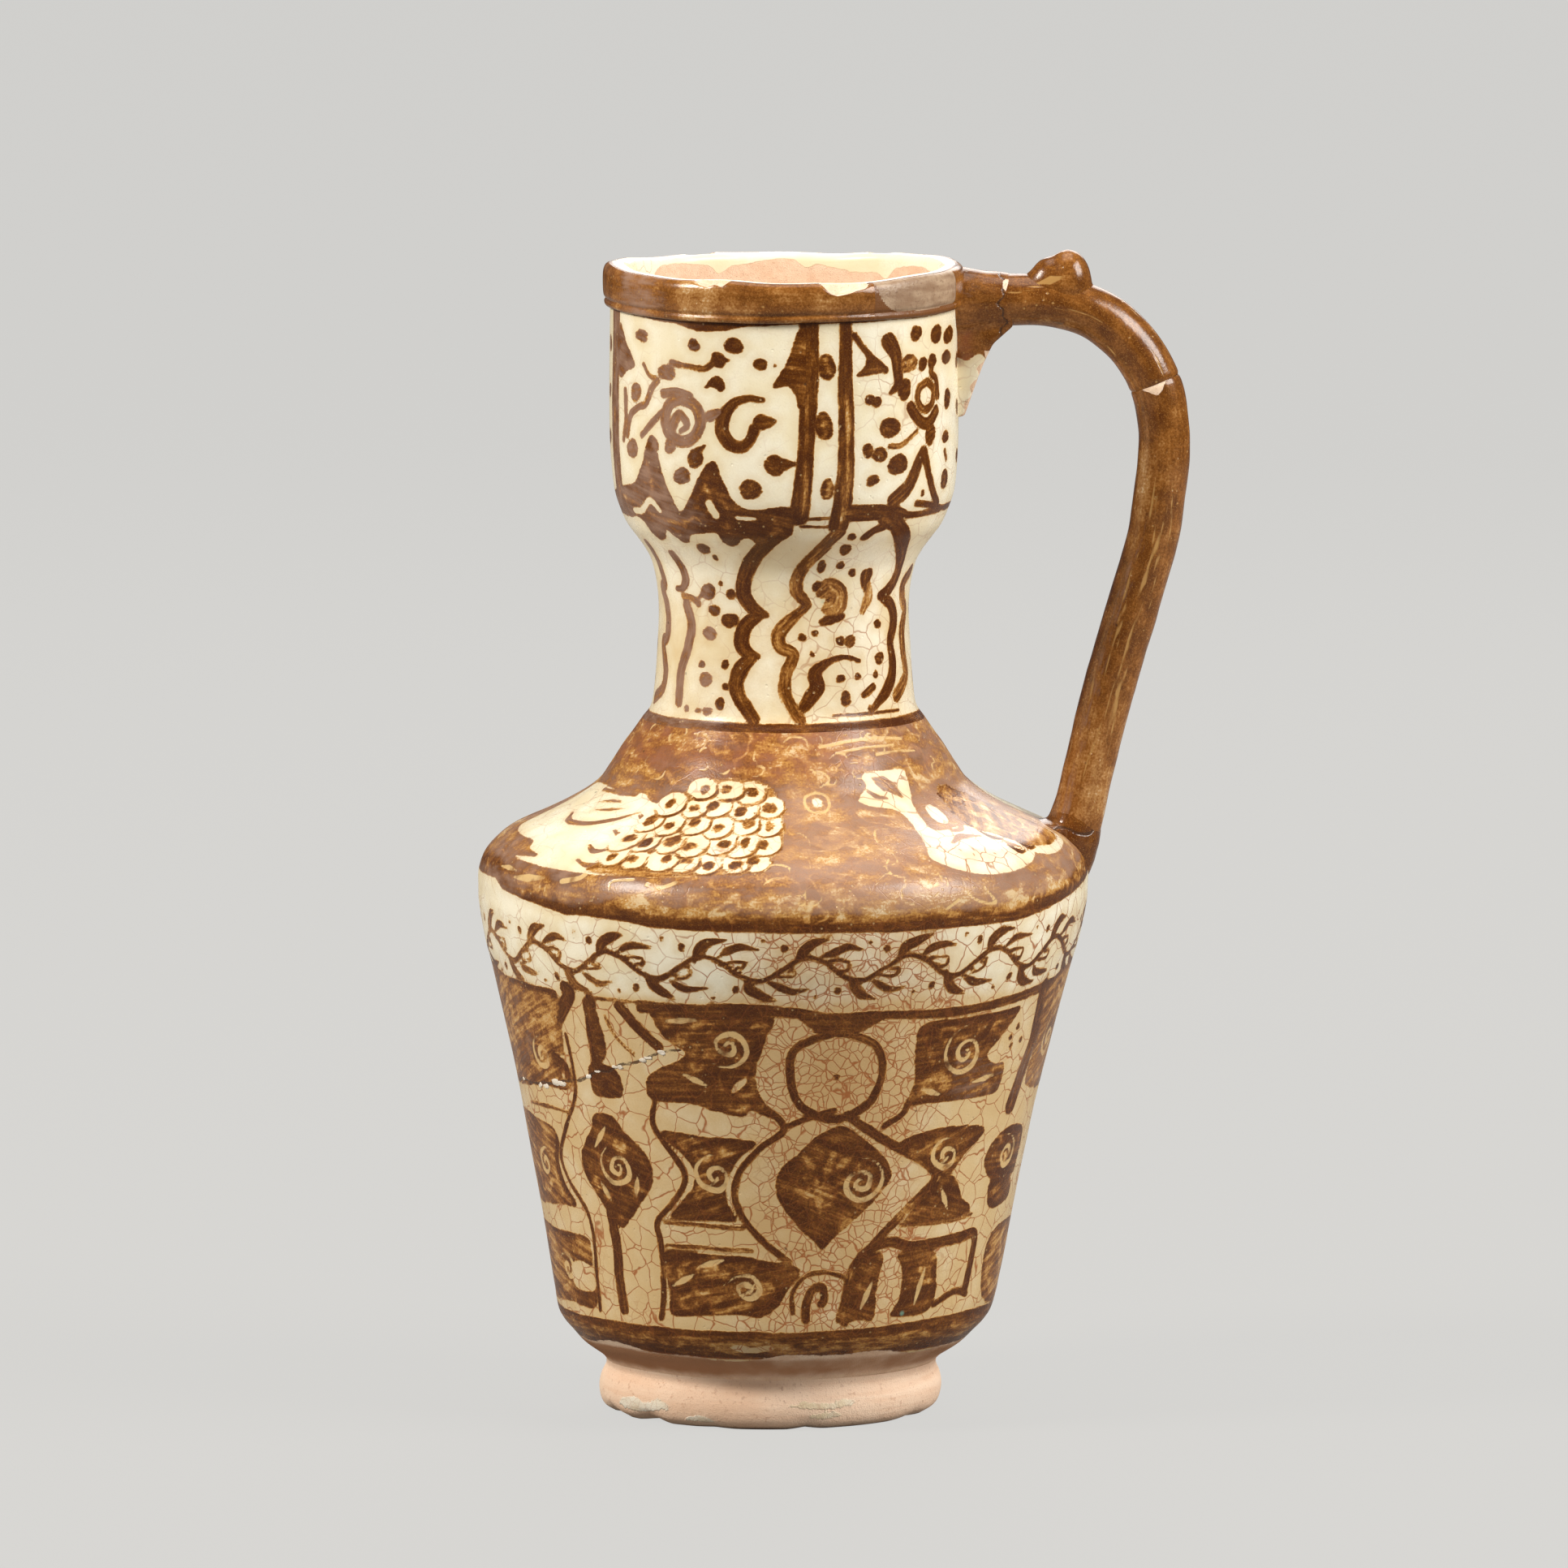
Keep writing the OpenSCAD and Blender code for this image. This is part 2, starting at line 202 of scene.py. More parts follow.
# The finish of the glazed pieces reads these fields from the meshes, here with their values on plain brown.
# Paint, scratch, seam and bare are distances inside an edge, in mm; the others run from 0 to 1.
# One more field, brush, runs along and across the strokes, so that the bristle marks follow them.
# The sheen field and the sheen colour are a painted reflection: they tint the brown pale lavender where light
# glances off the lustre.
plainGlaze = {"paint": 9, "scratch": -9, "seam": -9, "bare": -9,
              "tone": 0, "sheen": 0, "crackle": 0, "rust": 0, "warm": 0}


def glazeMaterial(name, look):
    material, b = newMaterial(name)
    co = b.add("ShaderNodeTexCoord", out="Object")
    brush = attribute(b, "brush", "Vector")
    paint, scratch, seam, bare, tone, sheen, crackle, rust, warm = (
        attribute(b, field) for field in plainGlaze)

    coarse, grain, dust = noise(b, co, 620), noise(b, co, 2100), noise(b, co, 4600, 1)
    edge = coarse * 0.65 + grain * 0.35 - 0.5
    bristle = noise(b, brush, 1.25, 3, 0.62)
    streak = ease(b, bristle, 0.28, 0.72) - 0.5
    cloud, patchy = noise(b, co, 85, 3, 0.55), noise(b, co, 260, 2)

    # curled marks left in the wet brown: contours of a bent noise
    bend = noise(b, warp(b, co, 90, 0.014), 95, 2)
    wave = b.add("ShaderNodeMath", {"operation": "SINE"}, {0: bend * look["curlTurns"]})
    curl = ease(b, wave + (patchy - 0.5) * 1.6, 0.0, 1.2) * ease(b, paint + coarse * 0.6, 1.2, 2.8)
    curl = curl * ease(b, cloud, 0.36, 0.6) * look["curl"]

    # how thick the brown lies, from a thin ochre wash to dark brown
    soft = ease(b, paint + edge * look["edge"] + (bristle - 0.5) * look["ragged"], -0.22, 0.3)
    pool = 1 - ease(b, paint + coarse * 0.8, 0.7, 2.2)
    body = look["load"] + streak * look["bristle"] + (cloud - 0.5) * 0.8 + (patchy - 0.5) * look["mottle"]
    body = body + (grain - 0.5) * 0.8 + pool * 0.1 - tone * 0.6 - curl
    density = soft * (look["thin"] + ease(b, body, -0.15, 1.25) * (1 - look["thin"]))
    cover = ease(b, density, 0.03, 0.3)
    lustre = b.add("ShaderNodeValToRGB", {"stops": look["wash"]}, {"Fac": density})
    # painted reflection: the brown is blended towards the pale lavender sheen colour
    paintedSheenShare = ease(b, sheen + (bristle - 0.5) * 1.3 + (patchy - 0.5) * 0.9, 0.35, 1.15)
    lustre = blend(b, paintedSheenShare * 0.65, lustre, look["sheen"])
    lustre = blend(b, ease(b, rust + patchy * 0.8 - 0.4, 0.25, 0.9) * 0.6, lustre, look["rust"])
    lustre = blend(b, ease(b, dust, 0.56, 0.72) * look["grain"], lustre, look["grainPale"])
    pins = (1 - ease(b, cells(b, co, 620), 0.1, 0.2)) * ease(b, noise(b, co, 240, 1), 0.53, 0.62)
    lustre = blend(b, pins * look["pins"], lustre, look["cut"])

    # the cream ground, stained near the brown and where it is crackled
    cream = blend(b, ease(b, cloud, 0.36, 0.66), look["cream"], look["creamWarm"])
    cream = blend(b, ease(b, paint + coarse * 1.4, -1.5, 1.0) * look["halo"], cream, look["ochreStain"])
    cream = blend(b, ease(b, warm + cloud * 0.6 + patchy * 0.5, 0.6, 1.5) * 0.85, cream, look["ochreStain"])
    cream = blend(b, ease(b, crackle + cloud * 0.6 + patchy * 0.4, 0.95, 2.0) * 0.75, cream, look["stain"])
    cream = blend(b, ease(b, dust, 0.6, 0.75) * 0.12, cream, look["stain"])

    glaze = blend(b, cover, cream, lustre)
    cut = ease(b, scratch + edge * 0.35, -0.1, 0.14) * ease(b, patchy, 0.25, 0.5) * cover
    glaze = blend(b, cut * 0.85, glaze, look["cut"])

    # two nets of cracks, dark flecks, copper spots and the mended seam
    bent = warp(b, co, 240, 0.0022)
    fine, wide = (cells(b, bent, scale, "DISTANCE_TO_EDGE") for scale in (430, 205))
    spread = noise(b, co, 55, 2) - 0.5
    fineLine = (1 - ease(b, fine, 0.008, 0.07)) * ease(b, crackle + spread * 0.7, 0.7, 1.0)
    wideLine = (1 - ease(b, wide, 0.004, 0.036)) * ease(b, crackle + spread, 0.05, 0.7)
    crack = fineLine.maths("MAXIMUM", fineLine, wideLine)
    glaze = blend(b, crack * (0.9 - cover * 0.7), glaze, look["crack"])
    fleck = (1 - ease(b, cells(b, co, 125), 0.02, 0.055)) * ease(b, noise(b, co, 45, 1), 0.5, 0.56)
    glaze = blend(b, fleck * 0.7, glaze, look["fleck"])
    copper = (1 - ease(b, cells(b, co, 88), 0.02, 0.07)) * ease(b, noise(b, co, 31, 1), 0.58, 0.64)
    glaze = blend(b, copper * 0.6, glaze, look["copper"])
    joint = ease(b, seam + edge * 0.5, -0.12, 0.12)
    glaze = blend(b, joint * 0.85, glaze, look["fleck"])

    # the clay that shows in chips and below the glaze
    clay = blend(b, ease(b, cloud * 0.6 + coarse * 0.4, 0.38, 0.62), look["clay"], look["clayPale"])
    clay = blend(b, ease(b, dust, 0.6, 0.72) * 0.5, clay, look["clayDark"])
    # darkens the clay by the rust field: a real brown stain, and under the heel also painted shade
    clay = blend(b, ease(b, rust + cloud * 0.7 + patchy * 0.4, 0.9, 1.6), clay, look["clayDark"])
    chip = ease(b, bare + edge * 1.1, -0.08, 0.14)
    finish = blend(b, chip, glaze, clay)

    gloss = look["rough"] + cloud * 0.12 + grain * 0.1
    rough = gloss * (1 - chip) + chip * 0.85
    relief = cover * 0.2 + grain * 0.2 + patchy * 0.35 - crack * 0.15 - cut * 0.25 - pins * 0.5 - joint
    relief = relief + chip * (dust * 0.8 - 0.9)
    closeMaterial(b, finish, rough, relief, look["bump"], IOR=look["ior"])
    return material


glazeLook = {
    "wash": [(0.0, (234, 202, 138)), (0.28, (200, 148, 78)), (0.5, (148, 94, 38)), (0.72, (108, 60, 10)),
             (1.0, (78, 35, 0))],
    # the sheen colour is a painted reflection on the lustre, not a colour of the glaze
    "sheen": (186, 151, 129), "grainPale": (172, 122, 62), "cream": (253, 247, 224),
    "creamWarm": (247, 236, 202), "ochreStain": (216, 185, 129), "stain": (206, 166, 110),
    "cut": (232, 198, 138), "crack": (168, 96, 44), "fleck": (74, 48, 30), "copper": (120, 178, 158),
    "clay": (230, 196, 166), "clayPale": (242, 216, 190), "clayDark": (176, 128, 92), "rust": (160, 92, 54),
    "edge": 0.55, "ragged": 0.6, "load": 0.9, "bristle": 0.65, "thin": 0.17, "mottle": 0.7,
    "curl": 0.4, "curlTurns": 30, "halo": 0.3, "grain": 0.3, "pins": 0.4,
    "rough": 0.17, "ior": 1.43, "bump": (0.55, 0.00025),
}
paintedGlaze = glazeMaterial("paintedGlaze", glazeLook)
brownLustre = glazeMaterial("brownLustre", {
    **glazeLook, "mottle": 0.85, "load": 0.64, "bristle": 0.2, "curl": 0.0, "cut": (194, 150, 88),
    "pins": 0.7, "grain": 0.6, "rough": 0.08, "ior": 1.5,
    "wash": [(0.0, (226, 188, 124)), (0.28, (188, 138, 80)), (0.5, (146, 92, 38)), (0.72, (116, 68, 20)),
             (1.0, (84, 42, 8))]})


# matt clay with darker pores, turning lines and spots where glaze ran down
def clayMaterial(name, look):
    material, b = newMaterial(name)
    co = b.add("ShaderNodeTexCoord", out="Object")
    cloud, pores, dust = noise(b, co, 70, 3), noise(b, co, 900, 3, 0.6), noise(b, co, 3600, 1)
    rings = noise(b, vectorMaths(b, "MULTIPLY", co, (0.05, 0.05, 1.0)), 900, 2)
    clay = blend(b, ease(b, cloud * 0.6 + rings * 0.4, 0.36, 0.64), look["clay"], look["pale"])
    clay = blend(b, ease(b, pores, 0.58, 0.72) * 0.5, clay, look["dark"])
    clay = blend(b, ease(b, dust, 0.62, 0.75) * 0.4, clay, look["dark"])
    film = ease(b, attribute(b, "glaze") + pores * 1.6 - 0.8, -0.15, 0.2)
    coat = blend(b, ease(b, cloud, 0.4, 0.6), look["glaze"], look["glazeWarm"])
    web = 1 - ease(b, cells(b, co, 420, "DISTANCE_TO_EDGE"), 0.01, 0.06)
    coat = blend(b, web * 0.3, coat, look["dark"])
    relief = pores * 0.7 + dust * 0.4 + rings * 0.5 + film * 0.7
    closeMaterial(b, blend(b, film, clay, coat), 0.9 - film * 0.55, relief, look["bump"])
    return material


bareClay = clayMaterial("bareClay", {
    "clay": (238, 202, 172), "pale": (248, 220, 194), "dark": (188, 140, 108),
    "glaze": (248, 240, 222), "glazeWarm": (232, 212, 178), "bump": (0.6, 0.0003)})


# the dull fill on the lip and the white fill on the wall
def fillMaterial(name, look):
    material, b = newMaterial(name)
    co = b.add("ShaderNodeTexCoord", out="Object")
    cloud, grain, dust = noise(b, co, 130, 4, 0.6), noise(b, co, 1200, 3), noise(b, co, 4200, 1)
    wipe = noise(b, vectorMaths(b, "MULTIPLY", co, (0.15, 0.15, 1.0)), 800, 3)
    base = blend(b, ease(b, cloud * 0.5 + wipe * 0.5, 0.36, 0.64), look["dark"], look["pale"])
    base = blend(b, ease(b, grain * 0.7 + dust * 0.3, 0.52, 0.68) * 0.6, base, look["spot"])
    base = blend(b, ease(b, attribute(b, "paint") + grain * 0.8 - 0.4, -0.1, 0.2), base, look["over"])
    closeMaterial(b, base, look["rough"] + grain * 0.15, grain + dust * 0.4, (0.5, 0.00025))
    return material


repairFill = fillMaterial("repairFill", {
    "dark": (150, 120, 94), "pale": (188, 162, 134), "spot": (120, 90, 66), "over": (120, 74, 32),
    "rough": 0.3})
whitePlaster = fillMaterial("whitePlaster", {
    "dark": (226, 216, 198), "pale": (244, 238, 226), "spot": (196, 178, 150), "over": (150, 110, 70),
    "rough": 0.75})

# the floor takes the shadow, and glows for the camera alone
floorMaterial, floorBoard = newMaterial("paleFloor")
floorShader = floorBoard.add("ShaderNodeBsdfPrincipled", {}, {
    "Base Color": toned(studio["floorColour"]), "Roughness": studio["floorRough"]})
seen = floorBoard.add("ShaderNodeLightPath", {}, {}, "Is Camera Ray")
glow = floorBoard.add("ShaderNodeEmission", {}, {"Color": toned(studio["backColour"]), "Strength": 1.0})
floorShader = floorBoard.add("ShaderNodeMixShader", {}, {
    0: seen * studio["backShare"], 1: floorShader, 2: glow})
floorBoard.add("ShaderNodeOutputMaterial", {}, {"Surface": floorShader})

floorMesh = bpy.data.meshes.new("floor")
half = studio["floorSize"] / 2
floorMesh.from_pydata([(-half, -half, 0), (half, -half, 0), (half, half, 0), (-half, half, 0)], [],
                      [(0, 1, 2, 3)])
floorMesh.materials.append(floorMaterial)
floor = addObject("floor", floorMesh)
print("studio and finishes made")


# outer outline of each thrown section from the foot up: distance from the axis and height, in mm
jug = {
    "outline": {
        "foot": [(32.3, 0), (34.5, 1.5), (35.3, 4.2), (35.0, 6.7), (34.0, 9.0), (34.2, 10.5)],
        "wall": [(34.2, 10.5), (35.6, 11.9), (39.2, 14.3), (41.6, 16.8), (43.7, 19.2), (44.9, 21.9),
                 (46.3, 29.4), (49.9, 49.5), (54.0, 69.7), (58.8, 89.8), (61.1, 98), (62.4, 105),
                 (62.6, 108)],
        "shoulder": [(62.6, 108), (62.6, 111.5), (61.5, 115), (59.4, 117.6), (56, 120.2), (50.3, 122.8),
                     (45.4, 125.1), (41, 127.6), (37.6, 130.2), (35.8, 132.7), (34.2, 135.2), (32.6, 137.7),
                     (30.7, 140.3), (28.9, 143)],
        "neck": [(28.9, 143), (27.2, 145.6), (26.5, 150.3), (26.0, 158), (25.7, 165.4), (26.1, 170.8),
                 (27.1, 175.3), (28.6, 178.2), (30.6, 181)],
        "collar": [(30.6, 181), (32.2, 183.2), (33.4, 185.8), (34.9, 190.6), (35.6, 198), (35.75, 206),
                   (35.75, 216), (35.7, 227.9)],
    },
    # height and shift along x
    "lean": [(0, -3), (10, -2.6), (25, -1.6), (70, -0.9), (108, -0.2), (181, 0), (240, 0)],
    "hub": 10,  # radius of the circle that an outline is swept round
    "perPoint": 24,  # steps of a curve between two points of an outline
}


# a curve through points
def splinePath(points, per, closed=False):
    p = np.array(points, float)
    ends = (p[-1:], p, p[:2]) if closed else (2 * p[:1] - p[1:2], p, 2 * p[-1:] - p[-2:-1])
    q = np.vstack(ends)
    t = np.arange(per)[:, None] / per
    runs = []
    for a, b, c, d in zip(q[:-3], q[1:-2], q[2:-1], q[3:]):
        runs.append(b + 0.5 * t * (c - a + t * (2 * a - 5 * b + 4 * c - d + t * (3 * (b - c) + d - a))))
    return np.vstack(runs + ([] if closed else [p[-1:]]))


# how far along a path each of its points lies
def runOf(path):
    return np.r_[0, np.cumsum(np.linalg.norm(np.diff(path, axis=0), axis=1))]


def evenly(path, step):
    gaps = runOf(path)
    at = np.linspace(0, gaps[-1], max(2, int(round(gaps[-1] / step)) + 1))
    return np.stack([np.interp(at, gaps, path[:, k]) for k in range(path.shape[1])], 1)


# values spread over a count of points
def spreadOver(values, count):
    return np.interp(np.linspace(0, 1, count), np.linspace(0, 1, len(values)), values)


# a smooth step from 0 to 1
def rise(low, high, value):
    t = np.clip((value - low) / (high - low), 0, 1)
    return t * t * (3 - 2 * t)


# up from 0 to 1 and down again
def swell(low, full, fade, end, value):
    return rise(low, full, value) * (1 - rise(fade, end, value))


# angles measured from a middle, within half a turn each way
def turnedFrom(middle, angle):
    return (angle - middle + 180) % 360 - 180


wholeOutline = np.vstack([splinePath(line, jug["perPoint"]) for line in jug["outline"].values()])


def radiusAt(z):
    return np.interp(z, wholeOutline[:, 1], wholeOutline[:, 0])


def onJug(angle, z):
    turn, r = np.radians(angle), radiusAt(z)
    return np.stack([r * np.sin(turn), -r * np.cos(turn), z], -1)


def leanAt(z):
    return np.interp(z, *zip(*jug["lean"]))


# geometry trees: each makes a shape, keeps its even places as a field, wobbles it and gives it a finish
wobbleSockets = [
    ("Wobble Size", "Float"), ("Wobble Scale", "Float"), ("Seed", "Vector"), ("Finish", "Material")]


def wobbleValues(look, material):
    return {"Wobble Size": look["wobble"] * mm, "Wobble Scale": look["wobbleScale"], "Seed": look["seed"],
            "Finish": material}


def newTree(name, sockets):
    tree = bpy.data.node_groups.new(name, "GeometryNodeTree")
    sockets = sockets + wobbleSockets
    for label, kind in sockets:
        tree.interface.new_socket(label, in_out="INPUT", socket_type="NodeSocket" + kind)
    tree.interface.new_socket("Geometry", in_out="OUTPUT", socket_type="NodeSocketGeometry")
    board = Board(tree)
    entry = tree.nodes.new("NodeGroupInput")
    return tree, board, {label: Wire(board, entry.outputs[label]) for label, kind in sockets}


def closeTree(board, into, shape):
    here = board.add("GeometryNodeInputPosition")
    kept = board.add("GeometryNodeStoreNamedAttribute", {"data_type": "FLOAT_VECTOR", "domain": "POINT"},
                     {"Geometry": shape, "Name": "ideal", "Value": here})
    place = vectorMaths(board, "ADD", here, into["Seed"])
    push = drift(board, place, into["Wobble Scale"], into["Wobble Size"])
    moved = board.add("GeometryNodeSetPosition", {}, {"Geometry": kept, "Offset": push})
    solid = board.add("GeometryNodeRealizeInstances", {}, {"Geometry": moved})
    dressed = board.add("GeometryNodeSetMaterial", {}, {"Geometry": solid, "Material": into["Finish"]})
    board.add("NodeGroupOutput", {}, {"Geometry": dressed})


# the mesh that an object's modifiers make becomes its own
def bakeShape(holder):
    graph = bpy.context.evaluated_depsgraph_get()
    mesh = bpy.data.meshes.new_from_object(holder.evaluated_get(graph), depsgraph=graph)
    holder.modifiers.clear()
    holder.data = mesh
    return mesh


def growMesh(name, tree, values):
    holder = addObject(name, bpy.data.meshes.new(name))
    modifier = holder.modifiers.new("shape", "NODES")
    modifier.node_group = tree
    for item in tree.interface.items_tree:
        if item.in_out == "INPUT":
            modifier[item.identifier] = values[item.name]
    bakeShape(holder).name = name
    return holder


def pathObject(name, points, closed, radii=None):
    curve = bpy.data.curves.new(name, "CURVE")
    curve.dimensions = "3D"
    spline = curve.splines.new("POLY")
    spline.points.add(len(points) - 1)
    for k, (spot, point) in enumerate(zip(spline.points, points)):
        spot.co = (*(c * mm for c in point), 1)
        spot.radius = 1 if radii is None else radii[k]
    spline.use_cyclic_u = closed
    return addObject(name, curve)


def dropPath(path):
    curve = path.data
    bpy.data.objects.remove(path)
    bpy.data.curves.remove(curve)


def throwingTree(whole):
    tree, b, into = newTree("thrownSection" if whole else "thrownArc", [
        ("Outline", "Object"), ("Steps", "Int"), ("Hub Radius", "Float"), ("Start Angle", "Float"),
        ("Sweep Angle", "Float")])
    outline = b.add("GeometryNodeObjectInfo", {}, {"Object": into["Outline"]}, "Geometry")
    ring = {"Resolution": into["Steps"], "Radius": into["Hub Radius"]}
    if whole:
        hub = b.add("GeometryNodeCurvePrimitiveCircle", {}, ring)
    else:
        hub = b.add("GeometryNodeCurveArc", {}, {
            **ring, "Start Angle": into["Start Angle"], "Sweep Angle": into["Sweep Angle"]})
    swept = b.add("GeometryNodeCurveToMesh", {}, {
        "Curve": hub, "Profile Curve": outline, "Fill Caps": not whole})
    closeTree(b, into, swept)
    return tree


def tubeTree():
    tree, b, into = newTree("clayTube", [("Path", "Object"), ("Round Steps", "Int"), ("Radius", "Float")])
    path = b.add("GeometryNodeObjectInfo", {}, {"Object": into["Path"]}, "Geometry")
    ring = b.add("GeometryNodeCurvePrimitiveCircle", {}, {
        "Resolution": into["Round Steps"], "Radius": into["Radius"]})
    girth = b.add("GeometryNodeInputRadius")
    swept = b.add("GeometryNodeCurveToMesh", {}, {
        "Curve": path, "Profile Curve": ring, "Scale": girth, "Fill Caps": True})
    closeTree(b, into, swept)
    return tree


sectionTree, arcTree, clayTree = throwingTree(True), throwingTree(False), tubeTree()


# reading and writing meshes as arrays in mm
def spotsOf(mesh, name=None):
    data = mesh.vertices if name is None else mesh.attributes[name].data
    flat = np.empty(len(data) * 3)
    data.foreach_get("co" if name is None else "vector", flat)
    return flat.reshape(-1, 3) / mm


def moveSpots(mesh, spots):
    mesh.vertices.foreach_set("co", (spots * mm).ravel())
    mesh.update()


def keepField(mesh, name, values):
    layer = mesh.attributes.get(name) or mesh.attributes.new(name, "FLOAT", "POINT")
    layer.data.foreach_set("value", np.broadcast_to(values, len(mesh.vertices)).astype(np.float32))


def dress(mesh, brush, **fields):
    for name, values in {**plainGlaze, **fields}.items():
        keepField(mesh, name, values)
    layer = mesh.attributes.new("brush", "FLOAT_VECTOR", "POINT")
    layer.data.foreach_set("vector", brush.astype(np.float32).ravel())


def faceOut(mesh):
    mesh.calc_loop_triangles()
    corners = np.empty(len(mesh.loop_triangles) * 3, int)
    mesh.loop_triangles.foreach_get("vertices", corners)
    a, b, c = spotsOf(mesh)[corners.reshape(-1, 3)].transpose(1, 0, 2)
    if np.einsum("ij,ij->i", a, np.cross(b, c)).sum() < 0:
        mesh.flip_normals()


def finishPiece(piece, node, sharp=50):
    faceOut(piece.data)
    piece.data.polygons.foreach_set("use_smooth", [True] * len(piece.data.polygons))
    piece.data.set_sharp_from_angle(angle=math.radians(sharp))
    if "ideal" in piece.data.attributes:
        piece.data.attributes.remove(piece.data.attributes["ideal"])
    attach(piece, "root")
    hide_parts(node)


# brush work is laid on a mesh as distances: strokes, dots and filled shapes in angle and height
brushwork = {
    "step": 0.35,  # between the points of a line that distances are measured to
    "chunk": 64,  # points of a line that are measured at once
    "reach": 2.2, "dotReach": 2.5,  # how far beyond its edge a mark is laid
    "over": -0.8,  # from this depth a new mark's ink and bristles take the place of what lies there
    "run": 0.13,  # scale along a stroke, against 1 across it, so that bristle marks run long
    "fillRun": (0.45 * 0.13, 0.6), "dotRun": 3 * 0.13,  # the same inside a filled shape and a dot
    "tilt": 25,  # bristles in a filled shape or a dot lie within this angle of level
    "strips": 90,  # range of the noise that the marks take their bristles from
    "ground": (0.12, 0.12, 0.8),  # scale of the bristle marks where no mark is laid
    "smear": 0.85,  # how much thinner a smear makes the brown
    "slope": 0.2,  # height over which the jug's slope is read
    "wall": 0.5,  # depth under the outline that still counts as the outside
    "lump": (0.07, 0.04),  # how far dots are from round
    "unset": -9.0,
}
inks = {  # how thin the brown is, and how much painted reflection (its sheen) lies on it
    "dark": (0.0, 0.0), "grey": (0.3, 0.85), "thin": (0.6, 0.15), "pale": (0.85, 0.1), "faint": (1.2, 0.0)}


class Sheet:
    def __init__(self, ideal):
        self.spots, self.z = ideal, ideal[:, 2]
        self.angle = np.degrees(np.arctan2(ideal[:, 0], -ideal[:, 1]))
        self.side = (self.angle + 90) % 180 - 90  # the back repeats the front
        self.reach = np.hypot(ideal[:, 0], ideal[:, 1])
        self.outside = self.reach > radiusAt(self.z) - brushwork["wall"]
        count = len(ideal)
        self.paint, self.scratch, self.seam = (np.full(count, brushwork["unset"]) for k in range(3))
        self.tone, self.sheen = np.zeros(count), np.zeros(count)
        self.brush = ideal * brushwork["ground"]
        self.luck = random.Random(3)

    # height of a line that is given by angle and height, at each spot
    def edgeAt(self, line):
        return np.interp(self.side, *zip(*line))

    def deepen(self, kind, values, picked=slice(None)):
        field = getattr(self, kind)
        field[picked] = np.maximum(field[picked], values)

    def near(self, path, reach):
        (left, low), (right, high) = path.min(0), path.max(0)
        middle = (left + right) / 2
        wide = (right - left) / 2 + np.degrees(reach / radiusAt(path[:, 1]).min())
        turned = turnedFrom(middle, self.angle)
        inside = (np.abs(turned) < wide) & (self.z > low - reach) & (self.z < high + reach)
        return np.flatnonzero(inside & self.outside), turned + middle

    def gap(self, picked, path, width):
        line = evenly(np.column_stack([onJug(path[:, 0], path[:, 1]), width]), brushwork["step"])
        ahead, rim = np.gradient(line[:, :3], axis=0), np.hypot(line[:, 0], line[:, 1])
        step = brushwork["slope"]
        slope = radiusAt(line[:, 2] + step) - radiusAt(line[:, 2] - step)
        face = np.column_stack([line[:, 0] / rim, line[:, 1] / rim, -slope / (2 * step)])
        side = np.cross(face, ahead)
        side /= np.linalg.norm(side, axis=1)[:, None] + 1e-9
        best, at = np.full(len(picked), brushwork["unset"]), np.zeros(len(picked), int)
        for part in np.array_split(np.arange(len(line)), len(line) // brushwork["chunk"] + 1):
            away = np.linalg.norm(self.spots[picked][:, None] - line[None, part, :3], axis=2)
            depth = line[None, part, 3] - away
            nearest = depth.argmax(1)
            found = depth[np.arange(len(picked)), nearest]
            better = found > best
            best[better], at[better] = found[better], part[nearest[better]]
        across = np.einsum("ij,ij->i", self.spots[picked] - line[at, :3], side[at])
        return best, at * brushwork["step"], across

    def lay(self, kind, depth, picked, along, across, ink="dark"):
        if kind in ("scratch", "seam"):
            self.deepen(kind, depth, picked)
        elif kind == "smear":
            self.deepen("tone", brushwork["smear"] * rise(-0.5, 0.5, depth), picked)
        elif kind == "lift":
            self.paint[picked] = np.minimum(self.paint[picked], -depth)
        else:
            top = depth > np.maximum(self.paint[picked], brushwork["over"])
            over = picked[top]
            self.tone[over], self.sheen[over] = inks[ink]
            strip = np.full(len(over), self.luck.uniform(0, brushwork["strips"]))
            self.brush[over] = np.column_stack([along[top], across[top], strip])
            self.deepen("paint", depth, picked)

    def stroke(self, kind, width, points, ink="dark"):
        path = splinePath(points, 8)
        widths = spreadOver(width if np.size(width) > 1 else (width, width), len(path))
        picked = self.near(path, widths.max() + brushwork["reach"])[0]
        if len(picked):
            depth, along, across = self.gap(picked, path, widths)
            self.lay(kind, depth, picked, along * brushwork["run"], across, ink)

    def flat(self, picked, turned, height):
        angle = math.radians(self.luck.uniform(-brushwork["tilt"], brushwork["tilt"]))
        x, z = np.radians(turned) * radiusAt(height), self.z[picked] - height
        return x * math.cos(angle) + z * math.sin(angle), z * math.cos(angle) - x * math.sin(angle)

    def fill(self, kind, points, ink="dark"):
        path = splinePath(points, 5, True)
        loop = np.vstack([path, path[:1]])
        picked, turned = self.near(loop, brushwork["reach"])
        if not len(picked):
            return
        x, z = turned[picked], self.z[picked]
        inside = np.zeros(len(picked), bool)
        for (x0, z0), (x1, z1) in zip(loop[:-1], loop[1:]):
            if z0 != z1:
                inside ^= ((z0 > z) != (z1 > z)) & (x < (x1 - x0) * (z - z0) / (z1 - z0) + x0)
        away = -self.gap(picked, loop, np.zeros(len(loop)))[0]
        along, across = self.flat(picked, x, loop[:, 1].mean())
        longer, wider = brushwork["fillRun"]
        self.lay(kind, np.where(inside, away, -away), picked, along * longer, across * wider, ink)

